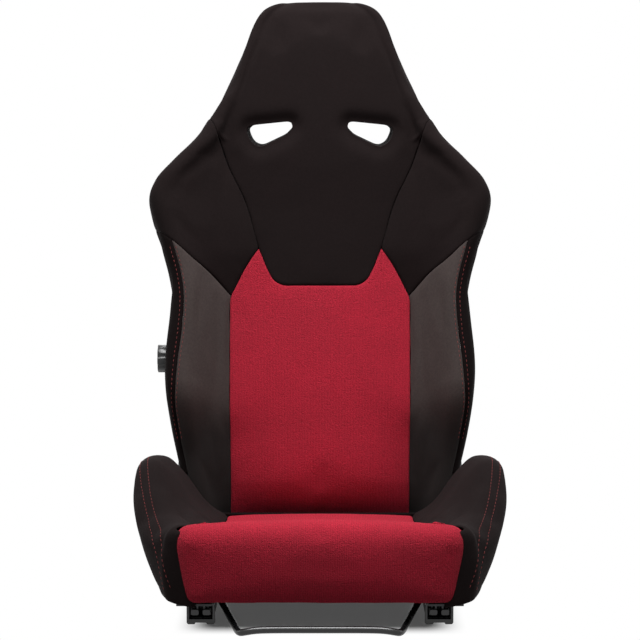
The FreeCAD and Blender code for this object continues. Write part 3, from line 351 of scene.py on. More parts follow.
@dataclass(frozen=True)
class CushionSurface(PaddedSurface):
    """The cushion. Its stations run forward from the rear edge and then down the nose."""

    crest: Outline = ((-292, 150), (-283, 160), (-272, 165), (-250, 163), (-200, 148), (-100, 125), (0, 109), (140, 96))
    ridge_side: Outline = ((-290, 180), (-272, 193), (-230, 206), (-190, 226), (-130, 244), (-50, 255), (60, 247),
                           (140, 227))
    ridge: Outline = ((-290, 146), (-272, 160), (-230, 157), (-190, 161), (-130, 187), (-50, 219), (60, 205),
                      (105, 176), (140, 138))
    outer: Outline = ((-290, 198), (-272, 212), (-230, 242), (-190, 260), (-90, 279), (0, 276), (60, 269), (140, 243))
    skirt: Outline = ((-290, 196), (-272, 214), (-250, 223), (-210, 230), (60, 229), (140, 220))
    panel_side: float = 148.0
    crown: float = 0.02
    bottom: float = 50.0
    nose_bottom: float = 50.0
    nose_start: float = 266.0
    nose_length: float = 128.0
    nose_depth: float = 26.0
    nose_half: float = 207.0
    nose_turn: float = 0.30
    turn_drop: float = 0.24
    tuck: float = 9.0
    tuck_start: float = 0.88
    narrowing: float = 0.075
    narrow_power: float = 1.8
    bar_start: float = 236.0
    bar_round: float = 24.0
    corner: float = 22.0
    rear_start: float = 134.0
    rear_length: float = 70.0
    rear_swell: float = 10.0
    rear_turn: float = 0.2
    rear_lip: float = 0.08

    @lru_cache(maxsize=None)
    def curves(self) -> tuple[SmoothCurve, ...]:
        """Give the outlines as smooth curves."""
        outlines = (self.crest, self.ridge_side, self.ridge, self.outer, self.skirt)
        return tuple(SmoothCurve(points) for points in outlines)

    @lru_cache(maxsize=None)
    def bar_profile(self, station: float) -> Profile:
        """Give the half section of the bar across the front, flat with a rounded end.

        Args:
            station: The station.

        Returns:
            The half section there.
        """
        crest = self.curves()[0](-min(station, self.nose_start)) - self.crown * self.panel_side
        shares = [k / CROWN_RUNS for k in range(CROWN_RUNS + 1)]
        line = [Vector((self.panel_side * part, crest + self.crown * self.panel_side * (1 - part ** 2)))
                for part in shares]
        for turn in (math.radians(90.0 * part) for part in shares):
            line.append(Vector((self.nose_half - self.bar_round * (1 - math.sin(turn)),
                                crest - self.bar_round * (1 - math.cos(turn)))))
        return evened(line)

    @lru_cache(maxsize=None)
    def profile(self, station: float) -> Profile:
        """Give the half section at a station; the nose keeps its first one."""
        crest, ridge_side, ridge, outer, skirt = [curve(-min(station, self.nose_start)) for curve in self.curves()]
        return bolster_profile(crest, (self.panel_side, crest - self.crown * self.panel_side), (ridge_side, ridge),
                               outer - ridge_side, (skirt, self.bottom))

    def place(self, side: float, height: float, station: float) -> Vector:
        """Put a section's point on the cushion, or wrapped down over the nose or the rear edge.

        Args:
            side: Millimetres from the middle.
            height: The section's height.
            station: The station.

        Returns:
            The place in the scene.
        """
        if station < -self.rear_start:
            over = (-station - self.rear_start) / self.rear_length
            behind = self.rear_swell * math.sin(min(over / self.rear_turn, 1.0) * math.pi / 2)
            down = max(0.0, over - self.rear_lip) / (1 - self.rear_lip)
            return Vector((side, self.rear_start + behind, height - (height - self.bottom) * down)) * MM
        if station <= self.nose_start:
            return Vector((side, -station, height)) * MM
        over = min((station - self.nose_start) / self.nose_length, 1.0)
        turn = min(over / self.nose_turn, 1.0) * math.pi / 2
        forward = self.nose_depth * math.sin(turn)
        straight = max(0.0, (over - self.nose_turn) / (1 - self.nose_turn))
        drop = self.turn_drop * (1 - math.cos(turn)) + (1 - self.turn_drop) * straight
        forward -= self.tuck * max(0.0, (over - self.tuck_start) / (1 - self.tuck_start)) ** 2
        away = max(0.0, abs(side) - (self.nose_half - self.corner)) / self.corner
        forward *= math.sqrt(max(0.0, 1 - min(away, 1.0) ** 2))
        narrow = 1 - self.narrowing * over ** self.narrow_power
        lowered = self.nose_bottom + (height - self.nose_bottom) * (1 - drop)
        return Vector((side * narrow, -self.nose_start - forward, lowered)) * MM


# ---------------------------------------------------------------- cover panels


@dataclass(frozen=True)
class Patch:
    """A four-sided cover panel, bounded by lines of (share, station) on a padded surface."""

    bottom: Outline
    top: Outline
    left: Outline
    right: Outline

    def at(self, across: float, along: float) -> tuple[float, float]:
        """Blend the four sides.

        Args:
            across: 0 on the left side and 1 on the right.
            along: 0 on the bottom side and 1 on the top.

        Returns:
            The share and station there.
        """
        low, high = self.side(self.bottom, across), self.side(self.top, across)
        near, far = self.side(self.left, along), self.side(self.right, along)
        corners = (self.bottom[0], self.bottom[-1], self.top[0], self.top[-1])
        blended = []
        for k in (0, 1):
            ruled = (1 - along) * low[k] + along * high[k] + (1 - across) * near[k] + across * far[k]
            ruled -= ((1 - across) * (1 - along) * corners[0][k] + across * (1 - along) * corners[1][k]
                      + (1 - across) * along * corners[2][k] + across * along * corners[3][k])
            blended.append(ruled)
        return blended[0], blended[1]

    @staticmethod
    def side(line: Outline, share: float) -> tuple[float, float]:
        """Give a side's point at a share of its length.

        Args:
            line: The side's corners.
            share: 0 at its start and 1 at its end.

        Returns:
            The share and station there.
        """
        spot = polyline_at([Vector((a * SHARE_LENGTH, b)) for a, b in line], share)
        return spot.x / SHARE_LENGTH, spot.y


def graded(length: float, cell: float, near: Sequence[float] = (0.0, 1.4, 3.2, 5.6, 9.0)) -> list[float]:
    """Divide a length evenly, with finer steps at both ends.

    Args:
        length: The length in millimetres.
        cell: The even step.
        near: Distances of the finer steps from each end.

    Returns:
        Shares of the length, from 0 to 1.
    """
    inner = length - 2 * near[-1]
    count = max(2, round(inner / cell))
    steps = [*near, *(near[-1] + inner * k / count for k in range(1, count)), *(length - step for step in near[::-1])]
    return [step / length for step in steps]


def grid_mesh(name: str, place: Callable[[float, float], Vector], across: Sequence[float], along: Sequence[float],
              flip: bool = False) -> bpy.types.Object:
    """Make a grid of quads over the unit square.

    Args:
        name: The object's name.
        place: Where a point (across, along) lies.
        across: Shares at which the columns stand.
        along: Shares at which the rows lie.
        flip: Whether the faces turn the other way.

    Returns:
        The new object.
    """
    mesh = bmesh.new()
    spots = [[mesh.verts.new(place(i, j)) for i in across] for j in along]
    for low, high in zip(spots, spots[1:]):
        for k in range(len(across) - 1):
            ring = [low[k], low[k + 1], high[k + 1], high[k]]
            mesh.faces.new(ring[::-1] if flip else ring)
    bmesh.ops.remove_doubles(mesh, verts=mesh.verts, dist=1e-5)
    return object_from(name, mesh)


def linked(name: str, data: bpy.types.ID) -> bpy.types.Object:
    """Put data in the scene as an object."""
    obj = bpy.data.objects.new(name, data)
    bpy.context.scene.collection.objects.link(obj)
    return obj


def object_from(name: str, mesh: bmesh.types.BMesh, smooth: bool = True) -> bpy.types.Object:
    """Turn mesh data into a linked object.

    Args:
        name: The object's name.
        mesh: The mesh data, which is freed.
        smooth: Whether its faces shade smoothly.

    Returns:
        The new object.
    """
    data = bpy.data.meshes.new(name)
    mesh.to_mesh(data)
    mesh.free()
    if smooth:
        data.shade_smooth()
    return linked(name, data)


def join_rings(mesh: bmesh.types.BMesh, rings: Sequence[Sequence[bmesh.types.BMVert]]) -> None:
    """Join closed rings of points one after the other with quads.

    Args:
        mesh: The mesh data.
        rings: The rings, each with as many points.
    """
    for near, far in zip(rings, rings[1:]):
        for k, _ in enumerate(near):
            n = (k + 1) % len(near)
            mesh.faces.new((near[k], near[n], far[n], far[k]))


def prism(mesh: bmesh.types.BMesh, first: Sequence[Vector], second: Sequence[Vector]) -> None:
    """Add a solid between two outlines.

    Args:
        mesh: The mesh data.
        first: The corners of one end.
        second: The corners of the other end, in the same order.
    """
    ends = [[mesh.verts.new(co) for co in outline] for outline in (first, second)]
    mesh.faces.new(ends[0])
    mesh.faces.new(ends[1][::-1])
    join_rings(mesh, ends)


def settle(obj: bpy.types.Object) -> None:
    """Apply every modifier of an object.

    Args:
        obj: The object.
    """
    graph = bpy.context.evaluated_depsgraph_get()
    graph.update()
    data = bpy.data.meshes.new_from_object(obj.evaluated_get(graph))
    data.name = obj.name
    obj.modifiers.clear()
    obj.data = data


def add_modifier(obj: bpy.types.Object, kind: str, **settings: object) -> bpy.types.Modifier:
    """Add a modifier with its settings.

    Args:
        obj: The object.
        kind: Blender's name for the modifier.
        settings: Its settings by name.

    Returns:
        The modifier.
    """
    modifier = obj.modifiers.new(kind.title(), kind)
    for name, value in settings.items():
        setattr(modifier, name, value)
    return modifier


def border_distances(obj: bpy.types.Object) -> list[float]:
    """Measure how far each vertex lies from its panel's edge, along the mesh, in metres.

    Args:
        obj: The panel.

    Returns:
        One distance for each vertex.
    """
    mesh = bmesh.new()
    mesh.from_mesh(obj.data)
    spots = [v.co.copy() for v in mesh.verts if v.is_boundary]
    spots += [(e.verts[0].co + e.verts[1].co) / 2 for e in mesh.edges if e.is_boundary]
    tree = KDTree(len(spots))
    for index, co in enumerate(spots):
        tree.insert(co, index)
    tree.balance()
    found = [tree.find(v.co)[2] for v in mesh.verts]
    mesh.free()
    return found


@dataclass(frozen=True)
class Sewing:
    """How a cover panel is filled and sewn, in metres."""

    puff: float = 0.0045
    roll_width: float = 0.006
    roll_depth: float = 0.0024
    thickness: float = 0.009
    ripple: float = 0.0007
    ripple_reach: float = 0.030
    broad_scale: float = 22.0
    fine_scale: float = 70.0
    fine_offset: tuple[float, float, float] = (3.1, 0.7, 5.3)
    pinned_width: float = 0.004
    pressure: float = 2.5
    frames: int = 20

    def inflate(self, obj: bpy.types.Object) -> None:
        """Blow the panel up from its pinned edge by cloth simulation, no further than the puff allows.

        Args:
            obj: The panel.
        """
        start = [v.co.copy() for v in obj.data.vertices]
        group = obj.vertex_groups.new(name="pinned")
        for index, distance in enumerate(border_distances(obj)):
            group.add([index], max(0.0, 1 - distance / self.pinned_width), "REPLACE")
        cloth = obj.modifiers.new("Cloth", "CLOTH")
        settings = cloth.settings
        settings.quality = 4
        settings.mass = 0.3
        settings.use_pressure = True
        settings.uniform_pressure_force = self.pressure
        settings.tension_stiffness = 30
        settings.compression_stiffness = 30
        settings.shear_stiffness = 8
        settings.bending_stiffness = 1.5
        settings.effector_weights.gravity = 0
        settings.vertex_group_mass = group.name
        settings.pin_stiffness = 1.0
        cloth.collision_settings.use_collision = False
        scene = bpy.context.scene
        cloth.point_cache.frame_start = 1
        cloth.point_cache.frame_end = self.frames
        for step in range(1, self.frames + 1):
            scene.frame_set(step)
        settle(obj)
        scene.frame_set(1)
        for vertex, origin in zip(obj.data.vertices, start):
            move = vertex.co - origin
            if move.length > self.puff:
                vertex.co = origin + move * (self.puff / move.length)
        obj.vertex_groups.clear()

    def roll_edges(self, obj: bpy.types.Object) -> None:
        """Round the panel's edge down into the seam.

        Args:
            obj: The panel.
        """
        obj.data.update()
        normals = [v.normal.copy() for v in obj.data.vertices]
        for vertex, normal, distance in zip(obj.data.vertices, normals, border_distances(obj)):
            share = 1 - min(distance / self.roll_width, 1.0)
            vertex.co -= normal * self.roll_depth * (1 - math.sqrt(max(0.0, 1 - share * share)))

    def crease(self, obj: bpy.types.Object) -> None:
        """Lay the cloth's shallow ripples, which grow towards its seams.

        Args:
            obj: The panel.
        """
        obj.data.update()
        normals = [v.normal.copy() for v in obj.data.vertices]
        for vertex, normal, distance in zip(obj.data.vertices, normals, border_distances(obj)):
            broad = noise.noise(vertex.co * self.broad_scale)
            fine = noise.noise(vertex.co * self.fine_scale + Vector(self.fine_offset))
            near = math.exp(-distance / self.ripple_reach)
            vertex.co += normal * self.ripple * (broad * (0.5 + 0.9 * near) + fine * 0.45 * near)

    def finish(self, obj: bpy.types.Object) -> bpy.types.Object:
        """Inflate, sew and thicken a panel.

        Args:
            obj: The panel.

        Returns:
            The same panel, thick and sewn.
        """
        self.inflate(obj)
        self.crease(obj)
        self.roll_edges(obj)
        add_modifier(obj, "SUBSURF", levels=1, render_levels=1, boundary_smooth="PRESERVE_CORNERS")
        add_modifier(obj, "SOLIDIFY", thickness=self.thickness, offset=-1.0)
        settle(obj)
        return obj


# ---------------------------------------------------------------- finishes


def linear(colour: tuple[int, int, int]) -> tuple[float, float, float, float]:
    """Turn a colour as seen on a screen, 0 to 255, into the renderer's light values.

    Args:
        colour: Red, green and blue.

    Returns:
        Red, green, blue and full opacity.
    """
    parts = [c / 255.0 for c in colour]
    red, green, blue = [p / 12.92 if p <= 0.04045 else ((p + 0.055) / 1.055) ** 2.4 for p in parts]
    return red, green, blue, 1.0


class NodeBench:
    """A short hand for wiring a material's nodes."""

    def __init__(self, name: str) -> None:
        """Start a material with a principled shader.

        Args:
            name: The material's name.
        """
        self.material = bpy.data.materials.new(name)
        self.material.use_nodes = True
        self.tree = self.material.node_tree
        self.shader = next(node for node in self.tree.nodes if node.type == "BSDF_PRINCIPLED")
        coordinates = self.tree.nodes.new("ShaderNodeTexCoord")
        self.place = coordinates.outputs["Object"]

    def add(self, kind: str, inputs: dict[str, object] | None = None, **settings: object) -> bpy.types.Node:
        """Add a node.

        Args:
            kind: Blender's name for the node, without its prefix.
            inputs: Values or sockets for its inputs, by name or number.
            settings: Its other settings.

        Returns:
            The node.
        """
        node = self.tree.nodes.new("ShaderNode" + kind)
        for name, value in settings.items():
            setattr(node, name, value)
        for name, value in (inputs or {}).items():
            self.put(node.inputs[name], value)
        return node

    def put(self, socket: bpy.types.NodeSocket, value: object) -> None:
        """Link a socket to an input, or set its value.

        Args:
            socket: The input.
            value: Another node's socket, or a plain value.
        """
        if isinstance(value, bpy.types.NodeSocket):
            self.tree.links.new(value, socket)
        else:
            socket.default_value = value

    def maths(self, operation: str, *values: object) -> bpy.types.NodeSocket:
        """Add a maths node and give its result."""
        node = self.add("Math", dict(enumerate(values)), operation=operation)
        return node.outputs[0]

    def scaled(self, scale: tuple[float, float, float]) -> bpy.types.NodeSocket:
        """Give the object's coordinates, stretched."""
        return self.add("Mapping", {"Vector": self.place, "Scale": scale}).outputs[0]

    def noise(self, scale: float, detail: float = 4.0, stretch: tuple[float, float, float] = (1, 1, 1),
              roughness: float = 0.55) -> bpy.types.NodeSocket:
        """Give fractal noise from 0 to 1."""
        node = self.add("TexNoise", {"Vector": self.scaled(stretch), "Scale": scale, "Detail": detail,
                                     "Roughness": roughness})
        return node.outputs[0]

    def cells(self, scale: float, stretch: tuple[float, float, float] = (1, 1, 1)) -> bpy.types.NodeSocket:
        """Give the distance to the nearest cell's middle."""
        return self.add("TexVoronoi", {"Vector": self.scaled(stretch), "Scale": scale}).outputs[0]

    def spread(self, value: bpy.types.NodeSocket, low: float, high: float, to_low: float = 0.0,
               to_high: float = 1.0) -> bpy.types.NodeSocket:
        """Stretch a range of values to another range."""
        node = self.add("MapRange", {0: value, 1: low, 2: high, 3: to_low, 4: to_high})
        return node.outputs[0]

    def mix(self, share: object, first: object, second: object, blend: str = "MIX") -> bpy.types.NodeSocket:
        """Mix two colours.

        Args:
            share: How much of the second shows.
            first: The colour below.
            second: The colour over it.
            blend: Blender's name for the way they mix.

        Returns:
            The mixed colour.
        """
        node = self.add("Mix", data_type="RGBA", blend_type=blend)
        self.put(node.inputs[0], share)
        self.put(node.inputs[6], first)
        self.put(node.inputs[7], second)
        return node.outputs[2]

    def bump(self, height: bpy.types.NodeSocket, strength: float, depth: float) -> bpy.types.NodeSocket:
        """Give a surface normal from a height pattern, with its depth in metres."""
        node = self.add("Bump", {"Height": height, "Strength": strength, "Distance": depth})
        return node.outputs[0]


@dataclass(frozen=True)
class Finish:
    """What a surface is made of and looks like."""

    name: str
    colour: tuple[int, int, int]
    roughness: float = 0.5

    def material(self) -> bpy.types.Material:
        """Give the finish's material, made once.

        Returns:
            The material.
        """
        found = bpy.data.materials.get(self.name)
        if found:
            return found
        bench = NodeBench(self.name)
        bench.shader.inputs["Roughness"].default_value = self.roughness
        self.dress(bench)
        return bench.material

    def dress(self, bench: NodeBench) -> None:
        """Wire the material."""
        bench.put(bench.shader.inputs["Base Color"], linear(self.colour))

    def shade(self, factor: float) -> tuple[float, float, float, float]:
        """Give the colour made darker or lighter."""
        red, green, blue, _ = linear(self.colour)
        return min(red * factor, 1.0), min(green * factor, 1.0), min(blue * factor, 1.0), 1.0

    def on(self, *pieces: bpy.types.Object) -> None:
        """Put the finish on whole pieces.

        Args:
            pieces: The pieces.
        """
        for piece in pieces:
            piece.data.materials.clear()
            piece.data.materials.append(self.material())

    def over(self, node: bpy.types.Object) -> None:
        """Put the finish in a CAD node's material slots.

        Args:
            node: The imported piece.
        """
        if not node.material_slots:
            node.data.materials.append(self.material())
        for slot in node.material_slots:
            slot.material = self.material()


@dataclass(frozen=True)
class Fabric(Finish):
    """A cover cloth: knitted with ribs, brushed suede or short velour.

    Its colour may be darkened from one height down to a lower one, as painted shade.
    """

    weave: Weave = Weave.SUEDE
    sheen: float = 0.25
    gloss: float = 0.22
    gap_shade: float = 0.45
    pitch: float = 0.0025
    # Painted shade: the heights in metres between which the cloth darkens downward, and the share of its colour left at
    # the lower one
    brushed: tuple[float, float, float] | None = None

    def dress(self, bench: NodeBench) -> None:
        """Wire the weave, its shadowed gaps and the light-catching pile.

        Args:
            bench: The material's nodes.
        """
        cloudy = bench.noise(9.0, 5.0)
        if self.weave is Weave.KNIT:
            height, dark = self.knit(bench)
        else:
            height, dark = self.pile(bench)
        base = bench.mix(dark, self.shade(self.gap_shade), self.shade(1.12))
        ratio = bench.mix(bench.spread(cloudy, 0.35, 0.70), (0.88, 0.88, 0.88, 1.0), (1.0, 1.0, 1.0, 1.0))
        mottle_and_painted_shade = bench.mix(1.0, base, ratio, "MULTIPLY")
        if self.brushed:
            # Painted shade: darker towards the bottom, from the higher height down to the lower one; the height also
            # stands in for the pile's relief in the bump
            low, high, deepest_shade = self.brushed
            height = bench.add("SeparateXYZ", {0: bench.place}).outputs[2]
            share = bench.add("MapRange", {0: height, 1: low, 2: high, 3: deepest_shade, 4: 1.0},
                              interpolation_type="SMOOTHSTEP").outputs[0]
            mottle_and_painted_shade = bench.add("VectorMath", {0: mottle_and_painted_shade, 3: share}, operation="SCALE").outputs[0]
        shader = bench.shader
        bench.put(shader.inputs["Base Color"], mottle_and_painted_shade)
        bench.put(shader.inputs["Roughness"], bench.spread(cloudy, 0.0, 1.0, self.roughness - 0.05,
                                                           min(self.roughness + 0.08, 1.0)))
        shader.inputs["Specular IOR Level"].default_value = self.gloss
        shader.inputs["Sheen Weight"].default_value = self.sheen
        shader.inputs["Sheen Roughness"].default_value = 0.45
        tint = linear(self.colour)
        shader.inputs["Sheen Tint"].default_value = tuple(min(1.0, c * 1.5 + 0.25) for c in tint[:3]) + (1.0,)
        depth = 0.0007 if self.weave is Weave.KNIT else 0.0004
        bench.put(shader.inputs["Normal"], bench.bump(height, 0.8, depth))

    def knit(self, bench: NodeBench) -> tuple[bpy.types.NodeSocket, bpy.types.NodeSocket]:
        """Give the height and brightness of upright ribs of small stitches.

        Args:
            bench: The material's nodes.

        Returns:
            The height and the brightness.
        """
        split = bench.add("SeparateXYZ", {0: bench.place})
        wobble = bench.maths("MULTIPLY", bench.spread(bench.noise(160.0, 2.0), 0.0, 1.0, -1.0, 1.0), 0.9)
        along = bench.maths("ADD", bench.maths("MULTIPLY", split.outputs[1], 0.9), split.outputs[2])
        across = bench.maths("ADD", bench.maths("MULTIPLY", split.outputs[0], 2 * math.pi / self.pitch), wobble)
        upward = bench.maths("MULTIPLY", along, 2 * math.pi / (self.pitch * 1.15))
        rib = bench.maths("SINE", across)
        stagger = bench.maths("ADD", upward, bench.maths("MULTIPLY", rib, 1.2))
        stitch = bench.maths("SINE", stagger)
        both = bench.maths("ADD", bench.maths("MULTIPLY", rib, 0.34), bench.maths("MULTIPLY", stitch, 0.10))
        fuzz = bench.spread(bench.noise(560.0, 3.0), 0.28, 0.72, -0.9, 0.9)
        height = bench.maths("ADD", both, fuzz)
        return height, bench.spread(height, -0.95, 0.9)

    def pile(self, bench: NodeBench) -> tuple[bpy.types.NodeSocket, bpy.types.NodeSocket]:
        """Give the height and brightness of a short brushed pile.

        Args:
            bench: The material's nodes.

        Returns:
            The height and the brightness.
        """
        fine = bench.noise(1500.0 if self.weave is Weave.SUEDE else 1100.0, 3.0)
        coarse = bench.noise(260.0, 4.0)
        height = bench.maths("ADD", bench.maths("MULTIPLY", fine, 0.6), bench.maths("MULTIPLY", coarse, 0.4))
        return height, bench.spread(height, 0.15, 0.72)


@dataclass(frozen=True)
class Paint(Finish):
    """A painted or coated metal."""

    metallic: float = 0.0
    grain: float = 420.0
    relief: float = 0.00012

    def dress(self, bench: NodeBench) -> None:
        """Wire an orange-peel coat with scuffs that catch the light.

        Args:
            bench: The material's nodes.
        """
        scuffs = bench.spread(bench.noise(55.0, 6.0, (1, 5, 1), 0.65), 0.55, 0.75)
        shader = bench.shader
        bench.put(shader.inputs["Base Color"], bench.mix(bench.maths("MULTIPLY", scuffs, 0.35), self.shade(1.0),
                                                         self.shade(1.9)))
        bench.put(shader.inputs["Roughness"], bench.spread(scuffs, 0.0, 1.0, self.roughness, self.roughness + 0.14))
        shader.inputs["Metallic"].default_value = self.metallic
        bench.put(shader.inputs["Normal"], bench.bump(bench.noise(self.grain, 3.0), 0.5, self.relief))


@dataclass(frozen=True)
class Plated(Finish):
    """Bare or plated steel with a brushed face."""

    def dress(self, bench: NodeBench) -> None:
        """Wire fine brushing and a clouded plate.

        Args:
            bench: The material's nodes.
        """
        brushed = bench.noise(700.0, 3.0, (1, 0.04, 1))
        cloud = bench.noise(30.0, 5.0)
        shader = bench.shader
        bench.put(shader.inputs["Base Color"], bench.mix(cloud, self.shade(0.75), self.shade(1.15)))
        bench.put(shader.inputs["Roughness"], bench.spread(cloud, 0.2, 0.8, self.roughness - 0.08,
                                                           self.roughness + 0.10))
        shader.inputs["Metallic"].default_value = 1.0
        bench.put(shader.inputs["Normal"], bench.bump(brushed, 0.35, 0.00008))


@dataclass(frozen=True)
class Plastic(Finish):
    """A moulded plastic with a fine grain."""

    grain: float = 900.0

    def dress(self, bench: NodeBench) -> None:
        """Wire the mould's grain.

        Args:
            bench: The material's nodes.
        """
        shader = bench.shader
        cloud = bench.noise(40.0, 4.0)
        bench.put(shader.inputs["Base Color"], bench.mix(cloud, self.shade(0.85), self.shade(1.2)))
        bench.put(shader.inputs["Roughness"], bench.spread(cloud, 0.2, 0.8, self.roughness - 0.05,
                                                           self.roughness + 0.08))
        bench.put(shader.inputs["Normal"], bench.bump(bench.cells(self.grain), 0.35, 0.0001))


@dataclass(frozen=True)
class Webbing(Finish):
    """Woven strap with a twill across it."""

    def dress(self, bench: NodeBench) -> None:
        """Wire the twill's ridges.

        Args:
            bench: The material's nodes.
        """
        wave = bench.add("TexWave", {"Vector": bench.scaled((1, 1, 1)), "Scale": 260.0, "Distortion": 0.6},
                         bands_direction="DIAGONAL")
        shader = bench.shader
        bench.put(shader.inputs["Base Color"], bench.mix(wave.outputs[1], self.shade(0.6), self.shade(1.6)))
        bench.put(shader.inputs["Normal"], bench.bump(wave.outputs[1], 0.7, 0.0005))


RED_KNIT = Fabric("red_ribbed_knit", (184, 33, 55), 0.88, weave=Weave.KNIT, sheen=0.04, gap_shade=0.55)
BLACK_SUEDE = Fabric("black_suede", (28, 21, 21), 0.92, weave=Weave.SUEDE, sheen=0.02, gloss=0.08)
# The velour's lower part, below 0.30 m, is darkened with painted shade
GREY_VELOUR = Fabric("brown_grey_velour", (68, 59, 57), 0.9, weave=Weave.VELOUR, sheen=0.10, gap_shade=0.34,
                     brushed=(0.205, 0.300, 0.22))
SIDE_CLOTH = Fabric("black_side_cloth", (20, 14, 14), 0.92, weave=Weave.SUEDE, sheen=0.0, gloss=0.06)
THREAD = Fabric("rust_thread", (132, 56, 54), 0.7, weave=Weave.SUEDE, sheen=0.1)
RAIL_PAINT = Paint("satin_black_paint", (24, 24, 25), 0.38)
FRAME_PAINT = Paint("black_powder_coat", (28, 28, 29), 0.55, grain=900.0, relief=0.0002)
HANDLE_PAINT = Paint("gloss_black_paint", (8, 8, 9), 0.26, grain=60.0, relief=0.00004)
ZINC = Plated("zinc_plate", (200, 200, 196), 0.32)
STEEL = Plated("phosphated_steel", (90, 90, 92), 0.42)
NYLON = Plastic("natural_nylon", (205, 200, 185), 0.5)
BLACK_PLASTIC = Plastic("grained_black_plastic", (24, 24, 25), 0.5)
GLOSS_PLASTIC = Plastic("gloss_black_plastic", (11, 11, 12), 0.28, grain=300.0)
STRAP = Webbing("black_webbing", (34, 34, 35), 0.8)


# ---------------------------------------------------------------- upholstery


@dataclass(frozen=True)
class Stitching:
    """Rows of thread stitches laid on finished covers, in metres."""

    length: float = 0.0046
    pitch: float = 0.0076
    radius: float = 0.00045
    corners: int = 6
    search: float = 0.02
    shape: tuple[tuple[float, float, float], ...] = (
        (0.0, 0.4, -0.0005), (0.14, 0.9, 0.0001), (0.5, 1.0, 0.0004), (0.86, 0.9, 0.0001), (1.0, 0.4, -0.0005))

    def land(self, place: Vector, outward: Vector, trees: Sequence[BVHTree]) -> Vector | None:
        """Give the place where a point comes down on the covers.

        Args:
            place: A place near the covers.
            outward: The direction out of them.
            trees: The covers' surfaces.

        Returns:
            The place, or None where no cover is near.
        """
        found = None
        for tree in trees:
            hit, _, _, distance = tree.ray_cast(place + outward * self.search, -outward, 2 * self.search)
            if hit is not None and (found is None or distance < found[1]):
                found = (hit, distance)
        return found[0] if found else None

    def stitch(self, mesh: bmesh.types.BMesh, start: Vector, end: Vector, outward: Vector) -> None:
        """Add one stitch, whose ends dive into the cloth.

        Args:
            mesh: The mesh data.
            start: Where the stitch starts.
            end: Where it ends.
            outward: The direction out of the cover.
        """
        run = (end - start).normalized()
        beside = run.cross(outward).normalized()
        rings = []
        for share, thick, lift in self.shape:
            middle = start.lerp(end, share) + outward * lift
            ring = []
            for k in range(self.corners):
                turn = 2 * math.pi * k / self.corners
                ring.append(mesh.verts.new(middle + (beside * math.cos(turn) + outward * math.sin(turn))
                                           * self.radius * thick))
            rings.append(ring)
        join_rings(mesh, rings)
        mesh.faces.new(rings[0][::-1])
        mesh.faces.new(rings[-1])

    def sew(self, name: str, rows: Sequence[Sequence[tuple[Vector, Vector]]], covers: Sequence[bpy.types.Object],
            body: str) -> bpy.types.Object:
        """Lay rows of stitches on the covers.

        Args:
            name: The object's name.
            rows: For each row, places near the covers and the directions out of them.
            covers: The finished covers.
            body: The body that the thread rides on.

        Returns:
            All the stitches as one object.
        """
        graph = bpy.context.evaluated_depsgraph_get()
        graph.update()
        trees = [BVHTree.FromObject(cover, graph) for cover in covers]
        mesh = bmesh.new()
        for row in rows:
            landed = [(self.land(place, outward, trees), outward) for place, outward in row]
            landed = [(place, outward) for place, outward in landed if place is not None]
            spots = [place for place, _ in landed]
            total = sum((b - a).length for a, b in zip(spots, spots[1:]))
            for k in range(int(total / self.pitch)):
                start, end = k * self.pitch / total, (k * self.pitch + self.length) / total
                outward = landed[min(int((start + end) / 2 * len(landed)), len(landed) - 1)][1]
                self.stitch(mesh, polyline_at(spots, start), polyline_at(spots, end), outward)
        bmesh.ops.recalc_face_normals(mesh, faces=mesh.faces)
        thread = object_from(name, mesh)
        THREAD.on(thread)
        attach(thread, body)
        LOG.info("%s: %d faces", name, len(thread.data.polygons))
        return thread


@dataclass(frozen=True)
class Upholstery:
    """Shared ways of turning panels into sewn covers."""

    sewing: Sewing = field(default_factory=Sewing)
    cell: float = 6.0
    foam_cell: float = 12.0
    foam_depth: float = 0.008
    foam_thickness: float = 0.004
    thread_runs: int = 140

    def liner(self, name: str, place: Callable[[float, float], Vector], size: tuple[float, float], flip: bool,
              body: str) -> bpy.types.Object:
        """Make the dark foam under a cover.

        Args:
            name: The piece's name.
            place: Where a point (across, along) of it lies.
            size: Its width and length in millimetres.
            flip: Whether its faces turn the other way.
            body: The body that it rides on.

        Returns:
            The foam.
        """
        counts = [round(length / self.foam_cell) for length in size]
        across, along = ([k / count for k in range(count + 1)] for count in counts)
        obj = grid_mesh(name, place, across, along, flip)
        add_modifier(obj, "SOLIDIFY", thickness=self.foam_thickness, offset=-1.0)
        settle(obj)
        SIDE_CLOTH.on(obj)
        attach(obj, body)
        return obj

    def panel(self, name: str, place: Callable[[float, float], Vector], size: tuple[float, float], flip: bool,
              finish: Finish, body: str, slot: str) -> bpy.types.Object:
        """Make, sew and dress one panel.

        Args:
            name: The piece's name.
            place: Where a point (across, along) of the panel lies.
            size: Its width and length in millimetres.
            flip: Whether its faces turn the other way.
            finish: Its cloth.
            body: The body that it rides on.
            slot: The record's material slot; not used.

        Returns:
            The panel.
        """
        across, along = (graded(length, self.cell) for length in size)
        obj = self.sewing.finish(grid_mesh(name, place, across, along, flip))
        finish.on(obj)
        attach(obj, body)
        LOG.info("%s: %d faces", name, len(obj.data.polygons))
        return obj


